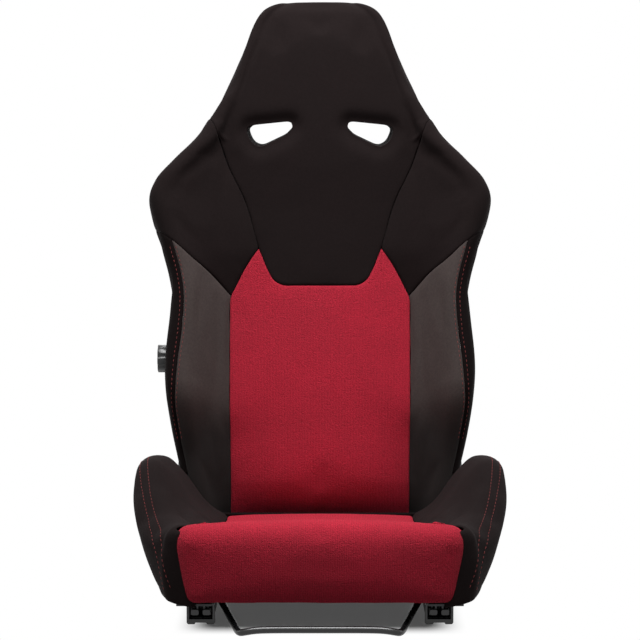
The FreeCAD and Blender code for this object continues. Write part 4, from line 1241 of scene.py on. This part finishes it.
@dataclass(frozen=True)
class BackCover(Upholstery):
    """The backrest's sewn cover: red centre, chest and head, shoulders, velour bolsters and their side bands."""

    surface: BackSurface = field(default_factory=BackSurface)
    bottom: float = -70.0
    seam: Outline = ((146, -60), (148, 293), (138, 318), (125, 344), (101, 381))
    seam_corner: tuple[float, float] = (144.8, 301)
    spike: Outline = ((0, 318), (58, 318), (66, 320.5), (76, 327), (86, 344), (94, 364), (101, 381))
    spike_shares: Outline = ((0, 318), (0.42, 318), (0.485, 320.5), (0.57, 327), (0.688, 344), (0.84, 364), (1, 381))
    chest_seam: Outline = ((101, 381), (121, 453), (154, 526), (167, 566), (179, 594))
    chest_exit: Outline = ((0.84, 612), (0.92, 624), (1.0, 638))
    shoulder_seam: Outline = ((144.8, 301), (176, 332), (209, 356), (228, 371), (242, 382), (268, 402))
    shoulder_exit: Outline = ((0.86, 413), (1.0, 424))
    band_seam: Outline = ((215, 6), (226, 60), (234, 118), (233, 134), (229, 183), (223, 232), (220.5, 282),
                          (226, 324), (236, 362), (242, 382))
    band_foot: Outline = ((0.45, 5), (0.75, 12), (1, 30))
    shoulder_top: float = 566.0
    foam_half: float = 0.60
    foam_rise: tuple[float, float] = (-62.0, 540.0)
    thread_start: float = 60.0
    thread_margin: float = 4.0
    slot_ease: float = 2.2
    slot_plane: float = 55.0
    slot_cut: float = 0.15
    slot_probe: float = 0.2
    slot_round: float = 11.0
    dip_depth: float = 0.010
    dip_width: float = 0.014
    toe: Outline = ((160, -65), (176, -62), (190, -53), (200, -38), (208, -16))
    rows: tuple[float, ...] = (-0.010, 0.017)
    slot_corners: Outline = ((50, 599), (114, 592), (122, 584), (113, 563), (98, 556), (58, 576), (47, 588))

    def spot(self, side: float, rise: float) -> tuple[float, float]:
        """Give the share and station of a place on the cover."""
        return self.surface.share_at(side, rise), rise

    def along(self, points: Outline, steps: int = 24, start: float | None = None,
              end: float | None = None) -> list[tuple[float, float]]:
        """Draw a smooth seam that climbs the back.

        Args:
            points: Sides and rises, the rises growing.
            steps: Number of runs.
            start: The rise to begin at, or the first point's.
            end: The rise to end at, or the last point's.

        Returns:
            Shares and stations along it.
        """
        curve = SmoothCurve([(rise, side) for side, rise in points])
        low = points[0][1] if start is None else start
        high = points[-1][1] if end is None else end
        return [self.spot(curve(low + (high - low) * k / steps), low + (high - low) * k / steps)
                for k in range(steps + 1)]

    def centre_place(self, across: float, along: float) -> Vector:
        """Place a point of the red centre panel.

        Args:
            across: 0 on the left and 1 on the right.
            along: 0 at the low or rear end and 1 at the other.

        Returns:
            The place.
        """
        share = 2 * across - 1
        top = SmoothCurve(self.spike_shares)(abs(share))
        rise = self.bottom + along * (top - self.bottom)
        side = SmoothCurve([(rise_, side_) for side_, rise_ in self.seam])(rise)
        return self.surface.point(math.copysign(self.surface.share_at(side, rise) * abs(share), share), rise)

    def head_place(self, across: float, along: float) -> Vector:
        """Place a point of the chest and head panel.

        Args:
            across: 0 on the left and 1 on the right.
            along: 0 at the low or rear end and 1 at the other.

        Returns:
            The place.
        """
        share = 2 * across - 1
        low = SmoothCurve(self.spike)(abs(share) * self.spike[-1][0])
        rise = low + along * (self.surface.top - low)
        return self.surface.point(share * self.head_side(rise), rise)

    def head_side(self, rise: float) -> float:
        """Give the section share where the chest and head panel ends.

        Args:
            rise: The height up the back.

        Returns:
            The share.
        """
        last = self.chest_seam[-1][1]
        if rise <= last:
            side = SmoothCurve([(r, s) for s, r in self.chest_seam])(max(rise, self.chest_seam[0][1]))
            return self.surface.share_at(side, rise)
        line = [(last, self.surface.share_at(self.chest_seam[-1][0], last))] + [(r, s) for s, r in self.chest_exit]
        for (r0, s0), (r1, s1) in zip(line, line[1:]):
            if rise <= r1:
                return s0 + (s1 - s0) * (rise - r0) / (r1 - r0)
        return 1.0

    def shoulder(self) -> Patch:
        """Give the right shoulder panel.

        Returns:
            The panel.
        """
        lower = self.along(self.shoulder_seam) + list(self.shoulder_exit)
        inner = self.along(self.seam, 8, self.seam_corner[1])
        inner += self.along(self.chest_seam, 24, None, self.shoulder_top)[1:]
        upper = self.along(self.chest_seam, 8, self.shoulder_top) + list(self.chest_exit)
        return Patch(lower, upper, inner, (lower[-1], upper[-1]))

    def bolster(self) -> Patch:
        """Give the right bolster's velour panel, between the red centre and the side band.

        Returns:
            The panel.
        """
        band = self.along(self.band_seam)
        inner = self.along(self.seam, 24, self.bottom + 4.0, self.seam_corner[1])
        upper = self.along(self.shoulder_seam, 16, None, self.band_seam[-1][1])
        lower = [inner[0]] + [self.spot(*point) for point in self.toe] + [band[0]]
        return Patch(lower, upper, inner, band)

    def side_band(self) -> Patch:
        """Give the right bolster's outer side band.

        Returns:
            The panel.
        """
        band = self.along(self.band_seam)
        first = band[0][0]
        lower = [band[0]] + [(first + (1 - first) * part, rise) for part, rise in self.band_foot]
        upper = self.along(self.shoulder_seam, 8, self.band_seam[-1][1]) + list(self.shoulder_exit)
        return Patch(lower, upper, band, (lower[-1], upper[-1]))

    def thread_rows(self, sign: int) -> list[list[tuple[Vector, Vector]]]:
        """Give the stitch rows beside one bolster's outer seam.

        Args:
            sign: -1 for the left side and 1 for the right.

        Returns:
            For each row, places on the surface and the directions out of it.
        """
        end = self.band_seam[-1][1] - self.thread_margin
        seam = self.along(self.band_seam, self.thread_runs, self.thread_start, end)
        return [[(self.surface.point(sign * (share + away), rise),
                  outward_at(self.surface.point, sign * (share + away), rise, 1)) for share, rise in seam]
                for away in self.rows]

    def foam(self) -> bpy.types.Object:
        """Build the foam's face, which closes the seams from behind.

        Returns:
            The foam.
        """
        def place(across: float, along: float) -> Vector:
            """Place a point below the cover.

            Args:
                across: 0 on the left and 1 on the right.
                along: 0 at the low or rear end and 1 at the other.

            Returns:
                The place.
            """
            share = 2 * self.foam_half * (across - 0.5)
            rise = self.foam_rise[0] + (self.foam_rise[1] - self.foam_rise[0]) * along
            out = outward_at(self.surface.point, share, rise, 1)
            return self.surface.point(share, rise) - out * self.foam_depth
        return self.liner("back_foam", place, (340, 600), False, "backrest")

    def build(self) -> list[bpy.types.Object]:
        """Build the whole cover.

        Returns:
            The foam and the panels.
        """
        made = [self.foam(), self.panel("back_center_cover", self.centre_place, (300, 400), False, RED_KNIT,
                                        "backrest", "red_fabric")]
        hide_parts("back_center_pad")
        head = self.panel("head_chest_cover", self.head_place, (420, 500), False, BLACK_SUEDE, "backrest",
                          "black_fabric")
        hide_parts("head_chest_pad")
        made.append(head)
        plans = (("shoulder", self.shoulder(), (200, 300), BLACK_SUEDE, "black_fabric"),
                 ("back_bolster", self.bolster(), (140, 390), GREY_VELOUR, "grey_velour"),
                 ("back_band", self.side_band(), (140, 390), SIDE_CLOTH, "black_fabric"))
        for name, sign in SIDES:
            for part, patch, size, finish, slot in plans:
                def place(across: float, along: float, patch: Patch = patch, sign: int = sign) -> Vector:
                    """Place a point of one side's panel."""
                    share, rise = patch.at(across, along)
                    return self.surface.point(sign * min(share, 1.0), rise)
                made.append(self.panel(f"{name}_{part}_cover", place, size, sign < 0, finish, "backrest", slot))
            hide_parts(f"{name}_shoulder_pad")
            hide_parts(f"{name}_back_bolster")
            Stitching().sew(f"{name}_bolster_stitches", self.thread_rows(sign), made[-2:], "backrest")
        self.cut_slots(head)
        return made

    def cut_slots(self, head: bpy.types.Object) -> None:
        """Press dips round the harness slots and cut them level through the head panel.

        Args:
            head: The chest and head panel.
        """
        edge = rounded(self.slot_edge(), self.slot_round)
        outlines = [[on_back(sign * side, rise, self.slot_plane) for side, rise in edge] for _, sign in SIDES]
        for vertex in head.data.vertices:
            away = min(outline_distance(vertex.co, outline) for outline in outlines)
            vertex.co.y += self.slot_dip(away)
        mesh = bmesh.new()
        reach = Vector((0, self.slot_cut, 0))
        for ring in outlines:
            prism(mesh, [co - reach for co in ring], [co + reach for co in ring])
        bmesh.ops.recalc_face_normals(mesh, faces=mesh.faces)
        cutter = object_from("slot_cutter", mesh, smooth=False)
        tree = BVHTree.FromObject(head, bpy.context.evaluated_depsgraph_get())
        add_modifier(head, "BOOLEAN", operation="DIFFERENCE", solver="EXACT", object=cutter)
        settle(head)
        bpy.data.objects.remove(cutter)
        for name, sign in SIDES:
            self.slot_sleeve(name, sign, tree)

    def slot_dip(self, away: float) -> float:
        """Give how deep the padding is pressed in at a distance from a slot, in metres."""
        return self.dip_depth * math.exp(-(max(away, 0.0) / self.dip_width) ** 2)

    def slot_edge(self) -> list[tuple[float, float]]:
        """Give a slot's outline where the cloth turns in, a little outside the tunnel.

        Returns:
            Its corners, as sides and rises.
        """
        middle = Vector((sum(p[0] for p in self.slot_corners), sum(p[1] for p in self.slot_corners)))
        middle /= len(self.slot_corners)
        spots = [Vector(corner) for corner in self.slot_corners]
        return [tuple(spot + (spot - middle).normalized() * self.slot_ease) for spot in spots]

    def slot_sleeve(self, name: str, sign: int, face: BVHTree) -> None:
        """Line one slot with cloth that rolls in from the head panel's face.

        Args:
            name: Which slot.
            sign: Its side.
            face: The head panel's surface before it was cut.
        """
        outline = rounded(self.slot_edge(), self.slot_round)
        middle = Vector((sum(p[0] for p in outline), sum(p[1] for p in outline))) / len(outline)
        mesh = bmesh.new()
        loops = []
        for grow, sink, at_face in SLEEVE_STEPS:
            ring = []
            for side, rise in outline:
                away = Vector((side, rise)) - middle
                spot = middle + away * (1 + grow / away.length)
                plane = on_back(sign * spot.x, spot.y, self.slot_plane)
                start_at = plane - Vector((0, self.slot_probe, 0))
                hit = face.ray_cast(start_at, Vector((0, 1, 0)))[0] if at_face else None
                start = hit.y if hit else plane.y
                ring.append(mesh.verts.new((plane.x, start + sink * MM, plane.z)))
            loops.append(ring)
        join_rings(mesh, loops)
        bmesh.ops.recalc_face_normals(mesh, faces=mesh.faces)
        sleeve = object_from(f"{name}_slot_sleeve", mesh)
        add_modifier(sleeve, "SUBSURF", levels=1, render_levels=1)
        settle(sleeve)
        BLACK_SUEDE.on(sleeve)
        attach(sleeve, "backrest")


# For each ring of a slot's sleeve: millimetres outside the slot's edge, millimetres deep, and whether from the face
SLEEVE_STEPS = ((3.4, 0.8, True), (2.2, -0.5, True), (1.0, 0.2, True), (0.2, 2.2, True), (-0.4, 6.0, True),
                (-1.0, 40.0, False), (-1.4, 80.0, False), (-1.6, 112.0, False))


def outline_distance(place: Vector, ring: Sequence[Vector]) -> float:
    """Measure how far a place lies outside a closed outline, both seen from the front.

    Args:
        place: The place.
        ring: The outline's corners.

    Returns:
        The distance, negative inside.
    """
    inside, nearest = False, math.inf
    for a, b in zip(ring, [*ring[1:], ring[0]]):
        run = Vector((b.x - a.x, b.z - a.z))
        reach = Vector((place.x - a.x, place.z - a.z))
        share = min(max(reach.dot(run) / run.length_squared, 0.0), 1.0)
        nearest = min(nearest, (reach - run * share).length)
        if (a.z > place.z) != (b.z > place.z) and place.x < a.x + (place.z - a.z) * (b.x - a.x) / (b.z - a.z):
            inside = not inside
    return -nearest if inside else nearest


def rounded(corners: Outline, radius: float, steps: int = 5) -> list[tuple[float, float]]:
    """Round the corners of a closed outline.

    Args:
        corners: The outline.
        radius: How far from each corner the rounding begins.
        steps: Runs in each rounding.

    Returns:
        The rounded outline.
    """
    made = []
    for k, corner in enumerate(corners):
        here, before, after = Vector(corner), Vector(corners[k - 1]), Vector(corners[(k + 1) % len(corners)])
        start = here + (before - here).normalized() * min(radius, (before - here).length * 0.45)
        end = here + (after - here).normalized() * min(radius, (after - here).length * 0.45)
        for step in range(steps + 1):
            s = step / steps
            spot = start * (1 - s) ** 2 + here * 2 * s * (1 - s) + end * s * s
            made.append((spot.x, spot.y))
    return made


@dataclass(frozen=True)
class CushionCover(Upholstery):
    """The cushion's sewn cover: red middle with a full-width nose, and black wings."""

    surface: CushionSurface = field(default_factory=CushionSurface)
    rear: float = -190.0
    flare: Outline = ((-200, 148), (240, 148), (252, 152), (259, 168), (265, 207), (400, 207))
    front: float = 290.0
    turn_start: float = 258.0
    turn_side: float = 176.0
    turn_depth: float = 26.0
    # A dark cloth strip round the hinge, standing as painted shade in the gap under the backrest: radius, half width,
    # turn in degrees and length
    shade_sheet_radius: float = 80.0
    shade_sheet_half: float = 196.0
    shade_sheet_turn: tuple[float, float] = (62.0, -16.0)
    shade_sheet_length: float = 110.0
    foam_half: float = 0.55
    foam_run: tuple[float, float] = (-128.0, 244.0)
    wing_runs: int = 60
    corner_reach: float = 60.0
    corner_fall: float = 6.0
    # Stitch rows, as stations and millimetres below the wing's ridge
    rows: tuple[Outline, ...] = (
        ((20, 0.8), (85, 0.8), (150, 1.4), (190, 2.8), (222, 7.5), (238, 12), (250, 21), (259, 37), (266, 58),
         (271, 78), (274, 92)),
        ((20, 8), (125, 6.5), (180, 9), (215, 18), (232, 28), (243, 40), (252, 58), (260, 84), (264, 98)))

    def thread_rows(self, sign: int) -> list[list[tuple[Vector, Vector]]]:
        """Give the stitch rows along one wing's ridge and down its front.

        Args:
            sign: -1 for the left side and 1 for the right.

        Returns:
            For each row, places on the surface and the directions out of it.
        """
        ridge = self.surface.curves()[2]
        rows = []
        for points in self.rows:
            fall = SmoothCurve(points)
            row = []
            for k in range(self.thread_runs + 1):
                station = points[0][0] + (points[-1][0] - points[0][0]) * k / self.thread_runs
                height = ridge(-station) - fall(station)
                share = sign * self.surface.profile(round(station, 2)).share_down_at(height)
                row.append((self.wing_spot(share, station), outward_at(self.wing_spot, share, station, -1)))
            rows.append(row)
        return rows

    def foam(self) -> bpy.types.Object:
        """Build the foam's face, which closes the seams from below.

        Returns:
            The foam.
        """
        def place(across: float, along: float) -> Vector:
            """Place a point below the cover.

            Args:
                across: 0 on the left and 1 on the right.
                along: 0 at the low or rear end and 1 at the other.

            Returns:
                The place.
            """
            share = 2 * self.foam_half * (across - 0.5)
            station = self.foam_run[0] + (self.foam_run[1] - self.foam_run[0]) * along
            out = outward_at(self.surface.point, share, station, -1)
            return self.surface.point(share, station) - out * self.foam_depth
        return self.liner("cushion_foam", place, (400, 372), True, "seat_base")

    def shade_sheet(self) -> bpy.types.Object:
        """Build a dark cloth strip behind the cushion, round the hinge, which closes the gap under the backrest:
        painted shade in that gap.

        Returns:
            The strip.
        """
        def place(across: float, along: float) -> Vector:
            """Place a point on a cylinder round the hinge.

            Args:
                across: 0 on the left and 1 on the right.
                along: 0 at the low or rear end and 1 at the other.

            Returns:
                The place.
            """
            turn = math.radians(self.shade_sheet_turn[0] + (self.shade_sheet_turn[1] - self.shade_sheet_turn[0]) * along)
            reach = self.shade_sheet_radius
            side = (2 * across - 1) * self.shade_sheet_half
            return Vector((side, PIVOT.y - reach * math.sin(turn), PIVOT.z - reach * math.cos(turn))) * MM
        return self.liner("hinge_shade_sheet", place, (2 * self.shade_sheet_half, self.shade_sheet_length), False, "seat_base")

    def panel_side(self, station: float) -> float:
        """Give the red panel's half width."""
        return min(max(SmoothCurve(self.flare)(station), self.surface.panel_side), self.surface.nose_half)

    def edge(self, station: float) -> float:
        """Give the section share where the red panel ends."""
        return self.surface.share_at(self.panel_side(station), min(station, self.surface.nose_start))

    def centre_place(self, across: float, along: float) -> Vector:
        """Place a point of the red panel, from the rear over the nose.

        Args:
            across: 0 on the left and 1 on the right.
            along: 0 at the low or rear end and 1 at the other.

        Returns:
            The place.
        """
        share = 2 * across - 1
        end = self.surface.nose_start + self.surface.nose_length
        station = self.rear + along * (end - self.rear)
        held = round(min(station, self.surface.nose_start), 2)
        side, height = self.surface.profile(held).at(abs(share) * self.edge(station))
        part = (station - self.surface.bar_start) / (self.surface.nose_start - self.surface.bar_start)
        part = min(max(part, 0.0), 1.0)
        if part:
            bar = self.surface.bar_profile(held)
            far, low = bar.at(abs(share) * bar.share_at(self.panel_side(station)))
            part = part * part * (3 - 2 * part)
            side, height = side + (far - side) * part, height + (low - height) * part
        return self.surface.place(math.copysign(side, share), height, station)

    def wing(self) -> Patch:
        """Give the right wing's panel.

        Returns:
            The panel.
        """
        stations = [self.rear + (self.front - self.rear) * k / self.wing_runs for k in range(self.wing_runs + 1)]
        inner = [(self.edge(station), station) for station in stations]
        return Patch((inner[0], (1.0, self.rear)), (inner[-1], (1.0, self.front)), inner,
                     ((1.0, self.rear), (1.0, self.front)))

    def wing_spot(self, share: float, station: float) -> Vector:
        """Place a point of a wing, whose front turns in behind the nose's end.

        Args:
            share: The signed share of the section.
            station: The station.

        Returns:
            The place.
        """
        if station <= self.turn_start:
            return self.surface.point(share, station)
        side, height = self.surface.profile(self.turn_start).at(abs(share))
        angle = min((station - self.turn_start) / (self.front - self.turn_start), 1.0) * math.pi / 2
        reach = max(0.0, side - self.turn_side)
        inward = self.turn_side + reach * math.cos(angle) if side > self.turn_side else side
        ahead = self.turn_start + self.turn_depth * math.sin(angle) * min(1.0, 0.35 + reach / self.corner_reach)
        lowered = height - self.corner_fall * (1 - math.cos(angle))
        return Vector((math.copysign(inward, share), -ahead, lowered)) * MM

    def build(self) -> list[bpy.types.Object]:
        """Build the whole cover.

        Returns:
            The foam and the panels.
        """
        self.shade_sheet()
        made = [self.foam(), self.panel("cushion_center_cover", self.centre_place, (330, 590), True, RED_KNIT,
                                        "seat_base", "red_fabric")]
        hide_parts("cushion_center_pad")
        patch = self.wing()
        for name, sign in SIDES:
            def place(across: float, along: float, sign: int = sign) -> Vector:
                """Place a point of one side's wing."""
                share, station = patch.at(across, along)
                return self.wing_spot(sign * min(share, 1.0), station)
            made.append(self.panel(f"{name}_cushion_wing_cover", place, (260, 460), sign > 0, BLACK_SUEDE,
                                   "seat_base", "black_fabric"))
            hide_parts(f"{name}_cushion_bolster")
            Stitching().sew(f"{name}_wing_stitches", self.thread_rows(sign), made[-1:], "seat_base")
        return made


# ---------------------------------------------------------------- hard parts


@dataclass(frozen=True)
class Hardware:
    """Rails, frame, levers and knob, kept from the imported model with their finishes."""

    finishes: tuple[tuple[Finish, tuple[str, ...]], ...] = (
        (RAIL_PAINT, ("left_lower_rail", "right_lower_rail", "left_upper_rail", "right_upper_rail", "rail_end_stops")),
        (HANDLE_PAINT, ("slide_handle",)),
        (FRAME_PAINT, ("left_side_frame", "right_side_frame", "front_cross_tube", "rear_cross_tube",
                       "latch_brackets", "recliner_arms", "backrest_frame", "backrest_lower_tube", "harness_bar",
                       "backrest_side_plates", "lumbar_bracket")),
        (ZINC, ("rail_rollers", "left_latch", "right_latch")),
        (STEEL, ("lumbar_shaft", "recline_lever")),
        (NYLON, ("roller_cages",)),
        (STRAP, ("seat_straps", "back_straps")),
        (BLACK_PLASTIC, ("recliner_covers", "recline_grip", "lumbar_plate")),
        (GLOSS_PLASTIC, ("lumbar_knob",)),
        (SIDE_CLOTH, ("rear_shell",)),
    )

    softened: tuple[tuple[str, float, str, str], ...] = (
        ("recliner_covers", 0.0025, "seat_base", "black_plastic"),
        ("recline_grip", 0.0030, "recline_lever", "black_plastic"),
        ("lumbar_knob", 0.0012, "lumbar_knob", "gloss_plastic"))
    handle_line: tuple[tuple[float, float, float], ...] = (
        (146.5, -105, 26.4), (146.5, -130, 26.4), (146.5, -160, 26.4), (137, -205, 24.5), (121, -285, 19.5),
        (114, -316, 16.5), (104, -319, 19.0), (88, -319, 21.5), (60, -319, 22.0), (20, -319, 22.0))
    handle_radius: float = 5.0
    rail_x: float = 172.5
    shoe_line: Outline = (
        (-9.5, 31.8), (-9.5, 35.6), (-18.5, 35.6), (-20.6, 33.2), (-20.6, 6.4), (-18.6, 4.2), (-9.0, 4.2), (-8.0, 6.6),
        (8.0, 6.6), (9.0, 4.2), (18.6, 4.2), (20.6, 6.4), (20.6, 33.2), (18.5, 35.6), (9.5, 35.6), (9.5, 31.8),
        (16.8, 31.8), (16.8, 12.2), (-16.8, 12.2), (-16.8, 31.8))
    shoe_reach: tuple[float, float] = (210.2, 217.5)
    cap_line: Outline = ((2.6, 17.8), (14.2, 17.8), (14.2, 26.8), (2.6, 26.8))
    cap_round: float = 3.4
    cap_reach: tuple[float, float] = (215.1, 219.5)

    def build(self) -> None:
        """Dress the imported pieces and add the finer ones."""
        for finish, names in self.finishes:
            for name in names:
                finish.over(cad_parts[name])
        for name, width, body, slot in self.softened:
            self.soften(name, width, body, slot)
        self.handle()
        for name, sign in SIDES:
            for end, facing in (("front", -1), ("rear", 1)):
                self.shoe(f"{name}_{end}", sign * self.rail_x, facing)

    def soften(self, name: str, width: float, body: str, slot: str) -> None:
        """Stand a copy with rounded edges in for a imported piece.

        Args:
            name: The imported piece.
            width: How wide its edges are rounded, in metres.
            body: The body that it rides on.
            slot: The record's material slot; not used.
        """
        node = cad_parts[name]
        mesh = bmesh.new()
        mesh.from_mesh(node.data)
        mesh.transform(node.matrix_world)
        bmesh.ops.remove_doubles(mesh, verts=mesh.verts, dist=2e-6)
        bmesh.ops.dissolve_limit(mesh, angle_limit=math.radians(1.0), verts=mesh.verts, edges=mesh.edges)
        piece = object_from(f"{name}_rounded", mesh)
        add_modifier(piece, "BEVEL", width=width, segments=3, limit_method="ANGLE", angle_limit=math.radians(35.0),
                     harden_normals=True)
        settle(piece)
        next(finish for finish, names in self.finishes if name in names).on(piece)
        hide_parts(name)
        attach(piece, body)
        LOG.info("%s: %d faces", piece.name, len(piece.data.polygons))

    def handle(self) -> None:
        """Build the slide handle as one bent bar, whose corners droop a little."""
        half = [Vector(spot) * MM for spot in self.handle_line]
        line = half + [Vector((-spot.x, spot.y, spot.z)) for spot in half[::-1]]
        curve = bpy.data.curves.new("handle_line", "CURVE")
        curve.dimensions = "3D"
        spline = curve.splines.new("NURBS")
        spline.points.add(len(line) - 1)
        for point, spot in zip(spline.points, line):
            point.co = (*spot, 1.0)
        spline.order_u = 3
        spline.use_endpoint_u = True
        spline.resolution_u = 8
        curve.bevel_depth = self.handle_radius * MM
        curve.bevel_resolution = 6
        curve.use_fill_caps = True
        holder = linked("handle_line", curve)
        graph = bpy.context.evaluated_depsgraph_get()
        graph.update()
        data = bpy.data.meshes.new_from_object(holder.evaluated_get(graph))
        bpy.data.objects.remove(holder)
        data.shade_smooth()
        bar = linked("slide_handle_bar", data)
        HANDLE_PAINT.on(bar)
        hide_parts("slide_handle")
        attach(bar, "slide_handle")

    def shoe(self, name: str, middle: float, facing: int) -> None:
        """Build a lower rail's moulded end shoe and the caps in the upper rail's end.

        Args:
            name: The rail's name and end.
            middle: The rail's middle to the side.
            facing: Which way the end faces.
        """
        ends = [facing * y for y in self.shoe_reach]
        shoe = self.extruded(f"{name}_rail_shoe", self.shoe_line, middle, ends, 0.9)
        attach(shoe, "rails")
        ends = [facing * y for y in self.cap_reach]
        for side, part in ((-1, "inner"), (1, "outer")):
            lobe = rounded([(side * away, height) for away, height in self.cap_line], self.cap_round)
            cap = self.extruded(f"{name}_{part}_rail_cap", lobe, middle, ends, 1.0)
            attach(cap, "seat_base")

    def extruded(self, name: str, outline: Outline, middle: float, reach: Sequence[float],
                 width: float) -> bpy.types.Object:
        """Build a moulded piece from its outline seen from the front.

        Args:
            name: The piece's name.
            outline: Its sides and heights in millimetres, the sides from the rail's middle.
            middle: The rail's middle to the side.
            reach: Where it starts and ends along the rail.
            width: How wide its edges are rounded.

        Returns:
            The piece.
        """
        mesh = bmesh.new()
        prism(mesh, *([Vector((middle + side, y, height)) * MM for side, height in outline] for y in reach))
        bmesh.ops.recalc_face_normals(mesh, faces=mesh.faces)
        piece = object_from(name, mesh)
        add_modifier(piece, "BEVEL", width=width * MM, segments=3, limit_method="ANGLE",
                     angle_limit=math.radians(30.0), harden_normals=True)
        settle(piece)
        GLOSS_PLASTIC.on(piece)
        return piece


# ---------------------------------------------------------------- studio


@dataclass(frozen=True)
class Studio:
    """The pale floor, the soft lights and the camera."""

    camera_place: tuple[float, float, float] = (0.0, -3.26, 0.767)
    pitch: float = 6.0
    lens: float = 120.7
    sensor: float = 36.0
    lamps: tuple[tuple[str, tuple[float, float, float], float, float], ...] = (
        ("overhead", (0.0, -0.55, 3.1), 1.8, 142.0), ("front", (0.0, -4.2, 1.9), 2.4, 3.5),
        ("left", (-2.6, 0.2, 1.7), 1.8, 12.0), ("right", (2.6, 0.2, 1.7), 1.8, 12.0),
        ("rear", (0.0, 3.4, 1.6), 2.2, 24.0))
    aim: tuple[float, float, float] = (0.0, 0.0, 0.45)
    sky: float = 0.08
    floor_half: float = 30.0
    floor_drop: float = 0.0005

    def build(self) -> None:
        """Set up the scene round the seat."""
        self.floor()
        self.lights()
        self.camera()
        bpy.context.scene.view_settings.view_transform = "Standard"

    def floor(self) -> None:
        """Lay a floor that is white to the camera and keeps the seat's shadow."""
        mesh = bmesh.new()
        bmesh.ops.create_grid(mesh, x_segments=1, y_segments=1, size=self.floor_half)
        floor = object_from("floor", mesh, smooth=False)
        floor.location.z = -self.floor_drop
        PaleFloor("pale_floor", (244, 244, 244), 0.7).on(floor)

    def lights(self) -> None:
        """Hang large soft lamps round the seat."""
        for name, place, size, power in self.lamps:
            lamp = bpy.data.lights.new(name, "AREA")
            lamp.energy, lamp.size = power, size
            obj = linked(name, lamp)
            obj.location = place
            obj.rotation_euler = (Vector(self.aim) - obj.location).to_track_quat("-Z", "Y").to_euler()
        world = bpy.data.worlds.new("studio")
        world.use_nodes = True
        bpy.context.scene.world = world
        tree = world.node_tree
        background = next(node for node in tree.nodes if node.type == "BACKGROUND")
        path = tree.nodes.new("ShaderNodeLightPath")
        seen = tree.nodes.new("ShaderNodeMath")
        seen.operation = "MAXIMUM"
        tree.links.new(path.outputs["Is Camera Ray"], seen.inputs[0])
        tree.links.new(path.outputs["Is Glossy Ray"], seen.inputs[1])
        strength = tree.nodes.new("ShaderNodeMapRange")
        tree.links.new(seen.outputs[0], strength.inputs[0])
        strength.inputs[3].default_value = self.sky
        strength.inputs[4].default_value = 1.0
        tree.links.new(strength.outputs[0], background.inputs[1])
        background.inputs[0].default_value = (1, 1, 1, 1)

    def camera(self) -> None:
        """Aim the camera as the photograph was taken."""
        data = bpy.data.cameras.new("camera")
        data.lens, data.sensor_width = self.lens, self.sensor
        camera = linked("camera", data)
        camera.location = self.camera_place
        camera.rotation_euler = (math.radians(90.0 - self.pitch), 0, 0)
        bpy.context.scene.camera = camera


@dataclass(frozen=True)
class PaleFloor(Finish):
    """A pale floor that keeps the shadow under the seat and fades to white around it."""

    shadow_side: tuple[float, float] = (0.150, 0.215)
    shadow_front: tuple[float, float] = (0.200, 0.262)
    returned: float = 0.10
    least_white: float = 0.06

    def dress(self, bench: NodeBench) -> None:
        """Wire the lit floor near the seat and the white one further out.

        Args:
            bench: The material's nodes.
        """
        path = bench.add("LightPath")
        bench.put(bench.shader.inputs["Base Color"], bench.mix(path.outputs["Is Diffuse Ray"], linear(self.colour),
                                                               self.shade(self.returned)))
        bench.put(bench.shader.inputs["Normal"], bench.bump(bench.noise(120.0), 0.05, 0.0002))
        split = bench.add("SeparateXYZ", {0: bench.place})
        kept = []
        for axis, (start, end) in ((0, self.shadow_side), (1, self.shadow_front)):
            away = bench.maths("ABSOLUTE", split.outputs[axis])
            kept.append(bench.add("MapRange", {0: away, 1: start, 2: end, 3: 1.0, 4: 0.0},
                                  interpolation_type="SMOOTHSTEP").outputs[0])
        fade = bench.maths("SUBTRACT", 1.0, bench.maths("MULTIPLY", *kept))
        seen = bench.maths("MAXIMUM", path.outputs["Is Camera Ray"], path.outputs["Is Glossy Ray"])
        seen = bench.maths("MAXIMUM", seen, path.outputs["Is Transmission Ray"])
        white = bench.add("Emission", {"Color": (1.0, 1.0, 1.0, 1.0), "Strength": 1.0})
        share = bench.maths("MULTIPLY", bench.maths("MAXIMUM", fade, self.least_white), seen)
        mixed = bench.add("MixShader", {0: share, 1: bench.shader.outputs[0], 2: white.outputs[0]})
        output = next(node for node in bench.tree.nodes if node.type == "OUTPUT_MATERIAL")
        bench.put(output.inputs[0], mixed.outputs[0])


def main() -> None:
    """Build the dressed seat and its scene."""
    logging.basicConfig(level=logging.INFO, format="%(name)s: %(message)s")
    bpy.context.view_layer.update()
    BackCover().build()
    CushionCover().build()
    Hardware().build()
    Studio().build()


if __name__ == "__main__":
    main()
